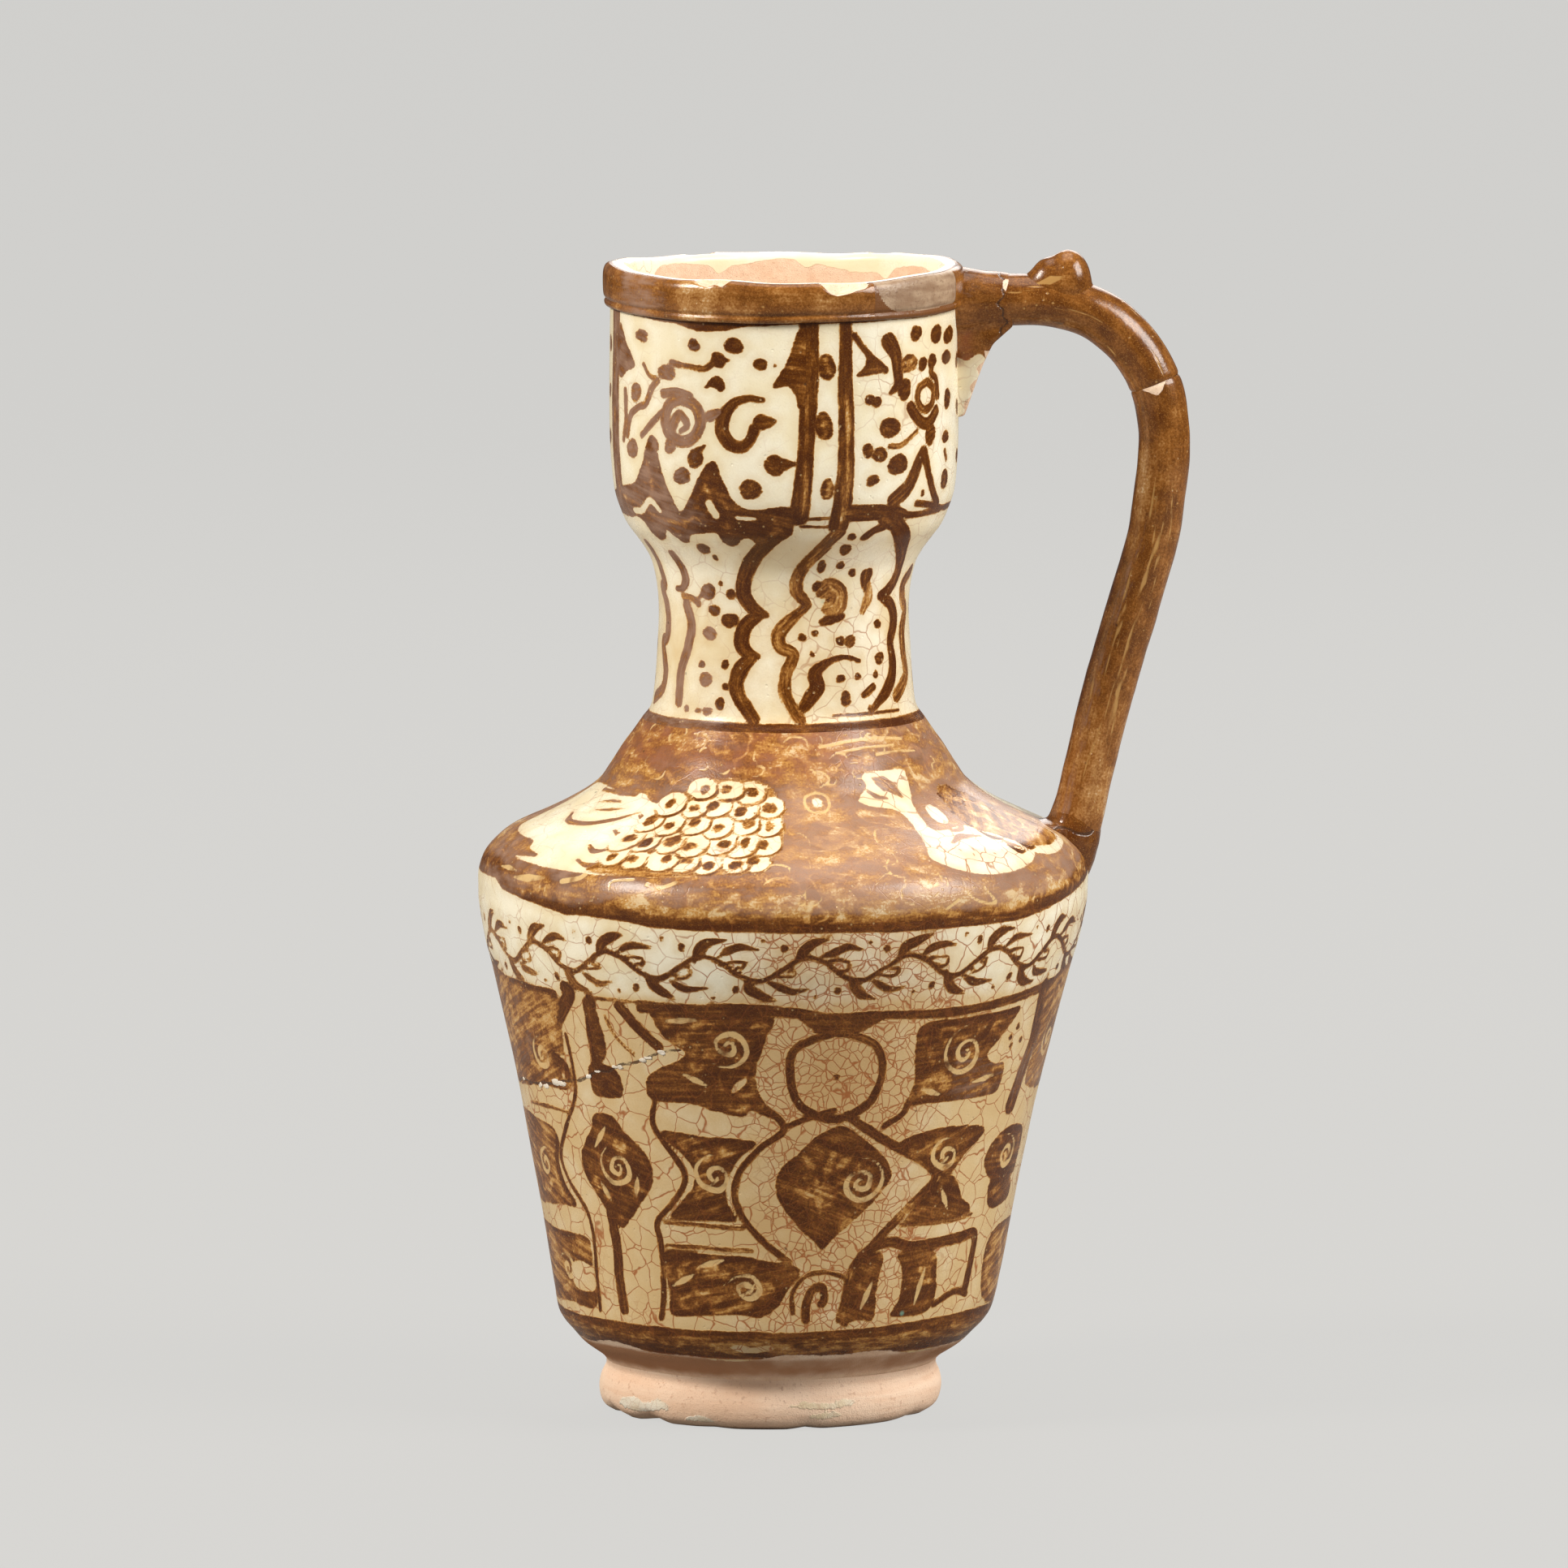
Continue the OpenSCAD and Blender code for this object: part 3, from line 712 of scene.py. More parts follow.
    def dot(self, kind, angle, z, wide, tall, ink="dark"):
        turned = turnedFrom(angle, self.angle)
        across, up, spare = np.radians(turned) * radiusAt(z), self.z - z, brushwork["dotReach"]
        picked = np.flatnonzero((np.abs(across) < wide + spare) & (np.abs(up) < tall + spare) & self.outside)
        far = np.hypot(across[picked] / wide, up[picked] / tall)
        bearing = np.arctan2(up[picked], across[picked])
        first, second = brushwork["lump"]
        lumpy = 1 + first * np.sin(2 * bearing + angle * 7) + second * np.sin(3 * bearing + z * 3)
        run, over = self.flat(picked, turned[picked], z)
        self.lay(kind, (lumpy - far) * min(wide, tall), picked, run * brushwork["dotRun"], over, ink)

    def decorate(self, art):
        for turn in art.get("turns", (0, 180)):
            def moved(points):
                return [(a + turn, z) for a, z in points]
            for points in art.get("fills", []):
                self.fill("paint", moved(points))
            for points in art.get("washes", []):
                self.fill("paint", moved(points), art.get("ground", "thin"))
            for points in art.get("reserves", []):
                self.fill("lift", moved(points))
            for width, points in art.get("reserveLines", []):
                self.stroke("lift", width, moved(points))
            for ink, width, points in art.get("strokes", []):
                self.stroke("paint", width, moved(points), ink)
            for ink, spots in art.get("dots", {}).items():
                for angle, z, wide, tall in spots:
                    self.dot("paint", angle + turn, z, wide, tall, ink)
            for angle, z, wide, tall in art.get("eyes", []):
                self.dot("lift", angle + turn, z, wide, tall)
            for kind, marks in (("smear", "smears"), ("scratch", "scratches")):
                for width, points in art.get(marks, []):
                    self.stroke(kind, width, moved(points))

    def dressMesh(self, mesh, **fields):
        kept = {name: getattr(self, name) for name in ("paint", "scratch", "seam", "tone", "sheen")}
        dress(mesh, self.brush, **kept, **fields)


# brush work, as seen from the front: angles run to the right, heights are in mm
# strokes and dots in the pale lavender ink carry a painted reflection of light on the lustre
collarArt = {
    "fills": [
        [(-70, 225.5), (-64, 221.5), (-58.3, 217.7), (-63, 216.2), (-70, 214.8)],
        [(4.8, 226.5), (1, 220), (-3.6, 215), (-1.5, 214.6), (1.2, 214.8), (3.5, 213), (5.2, 210), (9, 212),
         (9, 226)],
        [(27, 222.6), (31, 219.8), (35.3, 217.4), (30, 216.6), (24, 216.6), (27.5, 219)],
        [(-27, 214.3), (-24, 216.6), (-21, 216.6), (-19.5, 214.8), (-21, 213.6), (-24, 214.4)],
        [(-91, 189), (-70, 192.3), (-60, 193.4), (-54.5, 197.5), (-51.5, 202), (-49.5, 203.6), (-47.4, 203),
         (-46, 199.5), (-43.5, 194.5), (-40.5, 190.5), (-38, 188.3), (-34, 190.8), (-29, 196.2),
         (-25.5, 198.8), (-22.8, 199), (-21, 196), (-18, 192.2), (-14.5, 190), (-9, 189.3), (3, 189.8),
         (3, 184), (-2, 182.5), (-8, 180.8), (-12, 182.8), (-15.5, 182.9), (-17.5, 181.7), (-20.5, 181.3),
         (-23.3, 182.3), (-25, 184), (-30, 183.9), (-36, 183.2), (-38, 181.8), (-41, 181.4), (-44, 182.6),
         (-47.5, 183.9), (-50, 182.2), (-54, 181.5), (-57.5, 182.8), (-59.5, 185), (-64, 186.1), (-70, 185.7),
         (-91, 186)],
    ],
    "reserveLines": [
        (0.7, [(-64, 187.3), (-58, 187.8), (-52, 190), (-48, 188)]),
        (0.9, [(-26, 190.3), (-24, 188)]),
        (0.4, [(-16, 187.5), (-10, 187.3)]),
    ],
    "strokes": [
        ("dark", 2.6, [(-74.5, 228), (-74.3, 208), (-74, 188)]),
        ("thin", 0.6, [(-53, 218), (-50, 216), (-47, 215.5)]),
        ("thin", 0.7, [(-40, 219), (-28, 218.3), (-24, 219.5)]),
        ("dark", (1.2, 0.3), [(-22, 220.2), (-18.5, 220.3)]),
        ("grey", 0.8, [(-64.5, 212), (-64, 206), (-66, 202)]),
        ("grey", 0.8, [(-63, 203), (-61, 207), (-56, 209), (-52, 210), (-49, 213), (-46, 215)]),
        ("grey", 0.7, [(-54, 203.5), (-48, 206.5), (-41, 210)]),
        ("grey", 1.3, [(-35.5, 211.8), (-40.5, 210.4), (-42.6, 207.3), (-40.5, 204.2), (-35.5, 202.9),
                       (-30.5, 204.2), (-28.4, 207.3), (-30.5, 210.4), (-35.5, 211.8)]),
        ("grey", 1.1, [(-43, 212.6), (-38, 213), (-33, 212.4)]),
        ("grey", (1.2, 0.9, 0.5), [(-39.5, 206), (-36.5, 208.6), (-33.5, 206.5), (-36, 205)]),
        ("grey", (1.2, 0.8), [(-25, 208.5), (-22, 209.3), (-20, 209)]),
        ("dark", (0.6, 0.8, 1.0, 1.5, 1.6, 1.5, 1.3, 1.1, 1.2), [
            (-7, 212), (-12, 212.3), (-17, 211), (-20, 208.5), (-20.5, 205.5), (-18, 203), (-14, 202.3),
            (-11, 203.8), (-9.5, 206)]),
        ("dark", (1.7, 1.2, 0.3), [(-7.4, 207.5), (-5, 207.6), (-2.6, 207.7)]),
        ("dark", (1.6, 0.3), [(-1.5, 198.7), (4, 198.9)]),
        ("dark", (1.2, 0.4), [(-30, 200.5), (-27, 202.2)]),
        ("dark", (2, 1.9, 1.7, 1.8, 2.1), [(8.3, 229), (8, 215), (7.5, 205), (6.3, 195), (5.2, 188)]),
        ("dark", (1.3, 1.6, 1.7, 1.9, 2.2), [(20.5, 229), (20.3, 215), (20.8, 205), (20.3, 195),
                                             (19.5, 186)]),
        ("dark", 0.8, [(23.5, 225), (27, 222), (31, 219.5), (35, 217.5)]),
        ("dark", 0.35, [(4, 187.3), (17, 187.5)]),
        ("dark", 0.35, [(6, 185.8), (17, 185.6)]),
        ("dark", (2, 1.5, 1.2, 1.1, 0.5), [(36.5, 223.2), (39, 220.5), (40, 217), (40.2, 214.5),
                                           (37, 212.6)]),
        ("dark", 0.9, [(57.5, 218), (57, 216), (60, 214.5), (61, 211)]),
        ("thin", 0.9, [(54, 214.3), (50, 213.2), (49.5, 210.6), (53, 208.7), (57.5, 209.8), (58.3, 212.4),
                       (55, 214.3)]),
        ("dark", 1.3, [(46, 209.5), (50, 206.8), (55, 205.8), (60, 208)]),
        ("pale", 0.6, [(37, 202), (42, 202), (49, 204.5)]),
        ("thin", 0.7, [(67, 199.4), (68.5, 197.8)]),
        ("dark", (1.8, 1.5, 1.2), [(40, 190.5), (46, 193.5), (50, 198), (52.5, 200.3)]),
        ("dark", (1.2, 1.1, 1), [(53, 200), (56, 195.5), (60, 191.5), (65, 188.5)]),
        ("dark", 0.7, [(51, 189.5), (60, 188.7), (72, 187.5), (90, 187.5)]),
        ("dark", (1.9, 1.8, 1.6, 0.8, 0.8), [(22, 188.3), (32, 188.2), (42, 187.8), (50, 187), (70, 187.3)]),
        ("dark", (2, 1.6, 0.8), [(38, 187), (46, 184.5), (53, 181.5), (57, 179.5)]),
        ("dark", 1, [(31, 183), (34, 184.3), (38, 185)]),
        ("dark", (0.5, 1.7, 1.5, 0.4), [(-90, 222), (-90.6, 213), (-89.6, 203), (-90, 193)]),
    ],
    "dots": {
        "dark": [
            (-22, 220.2, 1.7, 1.6), (-16.7, 223.2, 2, 1.7), (-7.8, 219.5, 1.4, 1.3), (-3, 219.2, 0.35, 0.35),
            (-31, 223, 1.4, 1.3), (-11, 193.5, 2.6, 1.9), (-3, 198.6, 2.2, 2.1), (-30.5, 199.6, 1.9, 2),
            (-36, 195.8, 2.2, 1.7), (48.5, 224.6, 1.7, 1.7), (60, 223.8, 2.4, 1.9), (70, 223, 3.1, 1.8),
            (68, 218.5, 2.8, 1.4), (52, 218, 1.5, 1.5), (57.5, 218.3, 1.6, 1.6), (43, 213.2, 1.9, 2.2),
            (29, 211.5, 1.2, 1.2), (31.5, 211, 1.2, 1.2), (37, 205.7, 2.5, 2.2), (56.5, 203.5, 2, 2.2),
            (28.5, 201.3, 1.4, 1.4), (33, 200.3, 2, 1.5), (40.5, 198, 2.5, 2.3), (30.5, 195, 1.6, 1.2),
            (69, 210, 1.9, 2), (67.5, 202.3, 1.7, 1.3), (68, 193.6, 2, 2), (53.5, 191.5, 0.7, 0.7),
            (14, 218.6, 1.9, 2.6), (13, 206.5, 1.9, 3), (14.5, 193.5, 1.4, 2.4), (-83, 220.5, 1.6, 1.7),
            (-97.5, 217, 1.8, 1.6), (-82.5, 211, 1.5, 1.5), (-98, 207.5, 1.6, 1.8), (-83.5, 201.5, 1.7, 1.6),
            (-97, 197.5, 1.5, 1.5)],
        "grey": [(-54.5, 223.8, 2, 1.4), (-42, 217, 2.3, 1.8), (-57.5, 212, 2, 2), (-60, 200.4, 2.1, 2.1),
                 (-40.5, 201.8, 1.6, 1.6), (-48, 201.8, 1.6, 1.6)],
        "pale": [(45, 218.5, 2.5, 2)],
    },
    "smears": [((0.1, 0.6, 0.3, 0.7, 0.2), [(7.4, 212), (7, 200), (6.2, 188)]),
               ((0.2, 0.7, 0.2, 0.8, 0.5), [(21, 214), (21.2, 200), (20.4, 187)]),
               (0.5, [(13.4, 220.2), (14.8, 217.5)]), (0.5, [(12.6, 207.5), (13.6, 204)]),
               (0.5, [(14.9, 194.4), (14.6, 191.5)]), (0.5, [(-70, 190), (-60, 189), (-50, 186.5), (-40, 186),
                                                             (-30, 187), (-18, 186)]),
               (0.5, [(-52, 198), (-50, 193), (-53, 189)]), (0.5, [(-27, 194), (-25, 190), (-30, 187)])],
}
neckArt = {
    "strokes": [
        ("grey", 1.3, [(-69, 180), (-69, 175), (-67.5, 171.8), (-72, 170.6), (-68, 167.5), (-66.5, 163),
                       (-68, 160.4), (-72, 159.6), (-69, 156), (-67, 153.5), (-69, 150), (-80, 147.5)]),
        ("dark", (1.2, 1.1, 0.6), [(-52, 178.5), (-49.5, 175.5), (-49, 173.2), (-52, 171.5), (-56, 171.3)]),
        ("thin", 0.8, [(-52, 169.8), (-46, 169.5), (-42, 168.5)]),
        ("grey", 1.3, [(-50, 168), (-47, 163.5), (-49, 159), (-53, 154), (-53, 148)]),
        ("dark", (1.6, 1.7, 1.7, 1.6, 1.6, 1.5, 1.3, 0.6), [
            (-2, 184), (-9, 180.5), (-14, 177.5), (-17.5, 174), (-18, 171), (-15, 168.7), (-11, 167.2),
            (-7.5, 166.8)]),
        ("dark", (1.2, 1.6, 1.7, 1.5, 0.6), [(-11, 166.9), (-17.5, 164.4), (-19.5, 161.5), (-17.5, 159.3),
                                             (-11.5, 158.3)]),
        ("dark", (1.2, 1.7, 1.7, 1.6, 1.5, 1.4), [
            (-14.5, 158.1), (-19.5, 155.5), (-21.5, 152.5), (-20, 150), (-17, 148), (-13, 145.5)]),
        ("thin", (1.5, 1.6, 1.5, 1.4, 1.4, 1.3, 0.9), [
            (20, 184.5), (15, 181), (10, 178), (6.5, 175), (6, 172), (8.5, 170.2), (11, 168.8)]),
        ("thin", (1.1, 1.4, 1.5, 1.4, 1.2, 1.3, 1.4, 1.4, 1.3, 1.3), [
            (9, 168), (1, 165), (-2.5, 162.5), (-1.5, 160.3), (4, 159), (3, 157), (1, 155), (0.5, 151.5),
            (3, 148.5), (7, 145.5)]),
        ("pale", (1.6, 2.4, 2.2, 2.5, 1.5), [(18, 171.5), (21, 172.2), (25, 171), (24.5, 168.6),
                                             (20.5, 168)]),
        ("dark", (0.8, 1.2, 0.9), [(18, 165.2), (22, 165.8), (27, 166.3)]),
        ("pale", (0.9, 1.4, 0.7), [(40.5, 172.5), (41, 169.5), (38.5, 166.8)]),
        ("dark", (1.5, 1.1, 0.4), [(39, 174.6), (38.8, 172.8), (39.6, 170.8)]),
        ("dark", (0.5, 0.6, 0.8, 1.4, 1.7, 1.5, 1.2), [
            (36, 156.8), (28, 157.8), (20, 157), (14, 155), (15, 152), (12, 150), (9, 148)]),
        ("dark", (0.9, 0.7), [(43.5, 151.2), (38, 149.8)]),
        ("dark", (1.4, 1.6, 1.6, 1.5, 1.5, 1.5, 1.2), [
            (44, 184.5), (51, 181), (56, 178.8), (60, 175.8), (59, 173), (54.5, 170.8), (50, 169.9)]),
        ("dark", (1.2, 1.4, 1.6, 1.5, 1.4, 1.2), [
            (52, 169.2), (58, 167.7), (61, 165.5), (60.5, 163), (58, 161), (57, 159.6)]),
        ("dark", (1.2, 1.4, 1.6, 1.4, 1, 0.6), [(57, 160), (58.5, 156), (57, 152.8), (52, 150), (46, 148),
                                                (41, 146)]),
        ("thin", 1.6, [(76, 174), (69, 171.5), (71, 168), (75, 166), (70, 162), (70, 157), (72, 153),
                       (66, 150.5), (60, 149)]),
        ("dark", 0.35, [(22, 146), (60, 145.9)]),
        ("dark", (1.0, 0.3), [(-36, 171.2), (-42, 169.8)]),
    ],
    "dots": {
        "dark": [
            (-36, 171.2, 2, 1.7), (-24, 170.8, 1.1, 1.2), (-33, 167.4, 1.4, 1.3), (-25, 165.5, 1.9, 1.6),
            (-39.5, 156, 0.9, 0.8), (-27, 156.3, 0.9, 1), (-26.5, 151.8, 0.8, 0.8), (-21.5, 151.5, 1, 1),
            (-29, 148.3, 1.1, 1.2), (-29, 173, 0.6, 0.6), (-33, 180.4, 1.5, 1.2), (-29, 178.6, 0.6, 0.6),
            (15.4, 172.6, 1.2, 1.2), (25.5, 170.8, 1.6, 1.6), (16, 176.8, 1, 1.3), (24.5, 177, 0.9, 0.9),
            (24.5, 180.4, 1.3, 1.3), (25.5, 183.2, 1, 0.8), (31, 175.2, 0.9, 0.9), (8.5, 162.2, 0.9, 0.8),
            (14.5, 163, 0.7, 0.7), (13, 158.8, 0.6, 0.6), (26.5, 161.2, 1, 1), (31.5, 161, 1.3, 1.3),
            (26, 153.5, 1.1, 0.9), (35, 153.7, 0.8, 0.8), (28.5, 149.3, 1.3, 1.6), (41, 147, 0.7, 0.7),
            (45.5, 153.8, 0.8, 0.8), (48.5, 157, 1.4, 1.3), (48, 164, 1.1, 1), (-89, 173.5, 1.3, 1.4),
            (-91, 166, 1.5, 1.4), (-88.6, 158.5, 1.2, 1.3), (-90.6, 151.5, 1.4, 1.3)],
        "grey": [(-35.5, 162.5, 1.8, 1.4), (-37, 153, 1.8, 1.4), (-40, 146.6, 0.8, 0.6),
                 (-35, 146.6, 1.3, 0.8), (-47, 146.8, 0.8, 0.7)],
    },
    "eyes": [(32.5, 156.5, 0.6, 0.5)],
}
# edge of the scaled body of the bird on the left
scaledEdge = [(-35, 130.2), (-31, 132.2), (-27, 133.5), (-20, 134.3), (-10, 134), (-4, 132.5), (-1, 129),
              (0, 124.5), (-2, 121), (-8, 118.5), (-18, 117.2), (-30, 116.7)]
shoulderArt = {
    "reserves": [
        [(-88, 129), (-72, 130), (-60, 129.6), (-50, 130.2), (-44, 129), (-37, 128.8), *scaledEdge,
         (-40, 116.4), (-50, 116.3), (-66, 117), (-58, 118), (-63, 119), (-66, 120.2),
         (-76, 120.5), (-88, 122)],
        [(24, 130), (28, 132.5), (27, 134.2), (31, 135), (44, 135), (45.7, 133.5), (44.5, 130.5), (42, 128.6),
         (40.7, 126.3), (40.3, 124.2), (44, 123.8), (50, 124.3), (55, 123.8), (57, 122.3), (56, 120.8),
         (59, 119.5), (61, 118.3), (54, 116.4), (46, 115.9), (40, 116.5), (35, 118), (32, 119.8),
         (33.5, 121.6), (35, 124), (36, 126.3), (34, 128), (28, 128.6), (24, 129.5)],
        [(44, 125.6), (46, 124.8), (48.6, 125.4), (49.6, 126.8), (48, 128.1), (45.2, 127.6)],
        [(53, 124), (56, 129), (60, 131), (70, 129), (80, 124), (80, 119), (70, 117.5), (62, 118.5),
         (57, 121.5)],
    ],
    "strokes": [
        ("dark", (0.3, 1, 0.8, 0.4), [(-71, 125), (-66, 123.9), (-58, 124), (-50, 125.4), (-44, 127)]),
        ("dark", (0.2, 0.6, 0.2), [(-66, 127.4), (-60, 128), (-54, 128.2)]),
        ("dark", (0.2, 0.6, 0.2), [(-63, 126.1), (-56, 126.7), (-50, 127.4)]),
        ("thin", 0.6, [(-72, 129.4), (-62, 129.5), (-52, 129.7)]),
        ("dark", (0.4, 0.9, 0.4), [(-43, 126.6), (-40, 125.8), (-37.5, 126.4)]),
        ("dark", (0.4, 0.9, 0.4), [(-45.5, 123.8), (-42, 123.2), (-39, 124)]),
        ("dark", (0.4, 0.9, 0.4), [(-47, 121.2), (-43.5, 120.4), (-40.5, 121)]),
        ("dark", (0.4, 0.8, 0.3), [(-46, 118.6), (-42.5, 117.9), (-39, 118.4)]),
        ("dark", (0.4, 1.6, 1.2, 0.3), [(31.5, 133.6), (35, 132.6), (38, 131.4), (40, 129.8)]),
        ("thin", (0.3, 0.7, 0.3), [(28, 131.6), (31, 130.4), (34, 130)]),
        ("dark", (0.4, 1, 0.9, 0.4), [(46, 129.4), (50.5, 128), (51.4, 125.6), (49, 123.8), (45, 123.6)]),
        ("thin", 0.5, [(43.2, 125), (43.6, 127.2), (45.8, 128.6)]),
        ("thin", (0.3, 1, 0.3), [(41, 121.8), (46, 122.6), (52, 122.4)]),
    ],
    "dots": {"dark": [(a, z, 0.3, 0.25) for a, z in (
        (43, 119.6), (46.5, 119), (49, 119.4), (41, 120.5), (44.5, 120.5), (52, 120))]},
    "eyes": [(10.2, 129.8, 1.0, 0.8)],
    "scratches": [
        (0.35, [(10.3, 131.6), (6.9, 130.9), (6.5, 129.3), (8.4, 128.1), (12, 128.1), (13.9, 129.3),
                (13.5, 130.9), (10.3, 131.6)]),
        (0.4, [(14, 140.2), (26, 141), (40, 141.2), (52, 140.6)]),
        (0.35, [(20, 138.9), (32, 139.6), (46, 139.6)]), (0.3, [(36, 138.1), (46, 138.4), (56, 138)]),
        ((0.2, 0.6, 0.2), [(-69, 114.8), (-65.5, 114.9), (-62, 114.7)]),
        ((0.3, 0.9, 0.3), [(-62, 113.4), (-57, 113.8), (-52, 114.4)]),
        (0.6, [(-47, 114.3), (-43, 115.3), (-41.5, 116.2)]),
        (0.35, [(-30, 116.1), (-34, 115.6), (-35, 114.8), (-34.5, 113.6)]),
        (0.5, [(-27, 115.4), (-24, 114.9), (-21, 116)]),
        (0.35, [(36.5, 115), (37.5, 112.5), (40, 111), (43.8, 110.5), (42, 112.8), (41.3, 113.8)]),
        (0.35, [(32, 110), (35, 111.8)])],
    "smears": [
        (0.7, [(-60, 113), (-45, 112), (-30, 112.4), (-15, 111.6), (0, 111.8), (15, 111.4), (30, 112),
               (45, 112.6), (60, 113.4)]),
        (0.6, [(2, 123), (8, 121.5), (14, 122.5), (20, 121), (26, 122)]),
        (0.6, [(3, 118), (9, 117), (16, 118.2), (22, 117.2), (29, 117.6)]),
        (0.7, [(6, 126), (12, 125), (18, 126.2), (24, 125.2)]),
        (0.6, [(-3, 114.6), (6, 114), (14, 114.8), (24, 114.2), (32, 114.8)]),
        (0.4, [(18, 142.6), (40, 142.4), (60, 142.9)]), (0.35, [(22, 141.3), (45, 141), (62, 141.7)]),
        (0.35, [(25, 139.8), (40, 139.3), (58, 140.2)])],
}

# rows of cream scales with a dot each, on an ochre ground
scales = {
    "rows": [  # height, first angle, step and count
        (131.8, -26.5, 8.2, 3), (128.8, -35, 7.5, 5), (125.8, -37.5, 6.8, 6), (122.7, -39, 5.9, 7),
        (119.7, -37, 5.3, 7)],
    "wide": 3.4, "tall": 2.0, "seed": 21,
}
scaleArt = {"ground": "faint", "washes": [[
    (-42, 117), (-38, 120), (-40, 122), (-38, 124.5), (-37, 127.5), *scaledEdge]],
    "reserves": [], "strokes": [], "dots": {"dark": [], "thin": []}}
chance = random.Random(scales["seed"])
for row, first, step, count in scales["rows"]:
    for k in range(count):
        a, z = first + step * k + chance.uniform(-0.7, 0.7), row + chance.uniform(-0.4, 0.4)
        size = chance.uniform(0.84, 1.1)
        across, up = math.degrees(scales["wide"] * size / float(radiusAt(z))), scales["tall"] * size
        scaleArt["reserves"].append([
            (a + across * math.cos(t), z + up * math.sin(t) * chance.uniform(0.9, 1.1))
            for t in np.arange(0, 6.2, 0.8)])
        scaleArt["strokes"].append(("thin", (0.2, 0.45, 0.5, 0.2), [
            (a + across * math.cos(t), z + up * math.sin(t)) for t in (-2.6, -1.8, -1, -0.3, 0.5)]))
        scaleArt["dots"][chance.choice(("dark", "thin", "thin"))].append((
            a + chance.uniform(-1, 1), z + chance.uniform(-0.3, 0.4), chance.uniform(1.0, 1.7),
            chance.uniform(0.6, 1.0)))

# feathers beside the bird on the right: first angle and height, and their change by row and by place in it
feathers = {"rows": 5, "perRow": 5, "first": (55, 119.3), "byRow": (-1.2, 2.4), "byPlace": (4.6, 0.25),
            "shape": [(0, 1.2), (1.2, 0), (3.4, -0.3)]}
featherArt = {"ground": "pale", "strokes": [], "washes": [[
    (53, 124), (56, 129), (60, 131), (70, 129), (80, 124), (80, 120), (70, 119), (62, 120), (57, 122.4)]]}
for row in range(feathers["rows"]):
    for k in range(feathers["perRow"]):
        a, z = (begin + across * k + up * row for begin, up, across in zip(
            feathers["first"], feathers["byRow"], feathers["byPlace"]))
        a, z = a + chance.uniform(-0.8, 0.8), z + chance.uniform(-0.3, 0.3)
        featherArt["strokes"].append(("dark", (0.3, 0.9, 0.3),
                                      [(a + da, z + dz) for da, dz in feathers["shape"]]))


# loose curls smeared in the brown, drawn by rule inside a box of angles and heights
def curls(box, count, size, seed):
    low, high, bottom, top = box
    luck = random.Random(seed)
    found = []
    for k in range(count):
        a, z, way = luck.uniform(low, high), luck.uniform(bottom, top), luck.choice((-1, 1))
        start, sweep, reach = luck.uniform(0, 6.3), luck.uniform(2.2, 6.5), size * luck.uniform(0.6, 1.3)
        wide = luck.uniform(0.4, 0.9)
        points = []
        for t in (0, 0.2, 0.4, 0.6, 0.8, 1):
            r = reach * (1 - 0.6 * t)
            turn = start + way * sweep * t
            across = math.degrees(1.35 * r * math.cos(turn) / float(radiusAt(z)))
            points.append((a + across, z + r * math.sin(turn) * 0.8))
        found.append(((wide * 0.5, wide, wide * 0.6), points))
    return found


for number, (box, count, size) in enumerate([
        ((-4, 30, 111, 128), 26, 2.6), ((44, 88, 119, 134), 14, 2), ((30, 88, 110, 116), 9, 1.6),
        ((-88, -45, 110, 116), 7, 1.5), ((-88, 0, 133, 143), 30, 1.5), ((0, 92, 133, 143), 26, 1.5)]):
    shoulderArt["smears"] += curls(box, count, size, number)
for number, (box, count, size) in enumerate([
        ((20, 32, 112, 125), 12, 2.8), ((-2, 12, 112, 123), 9, 3), ((-88, -4, 134, 142), 22, 2),
        ((2, 70, 133, 142), 18, 2)]):
    shoulderArt["scratches"] += [(tuple(0.4 * w for w in widths), points[:4])
                                 for widths, points in curls(box, count, size, 70 + number)]

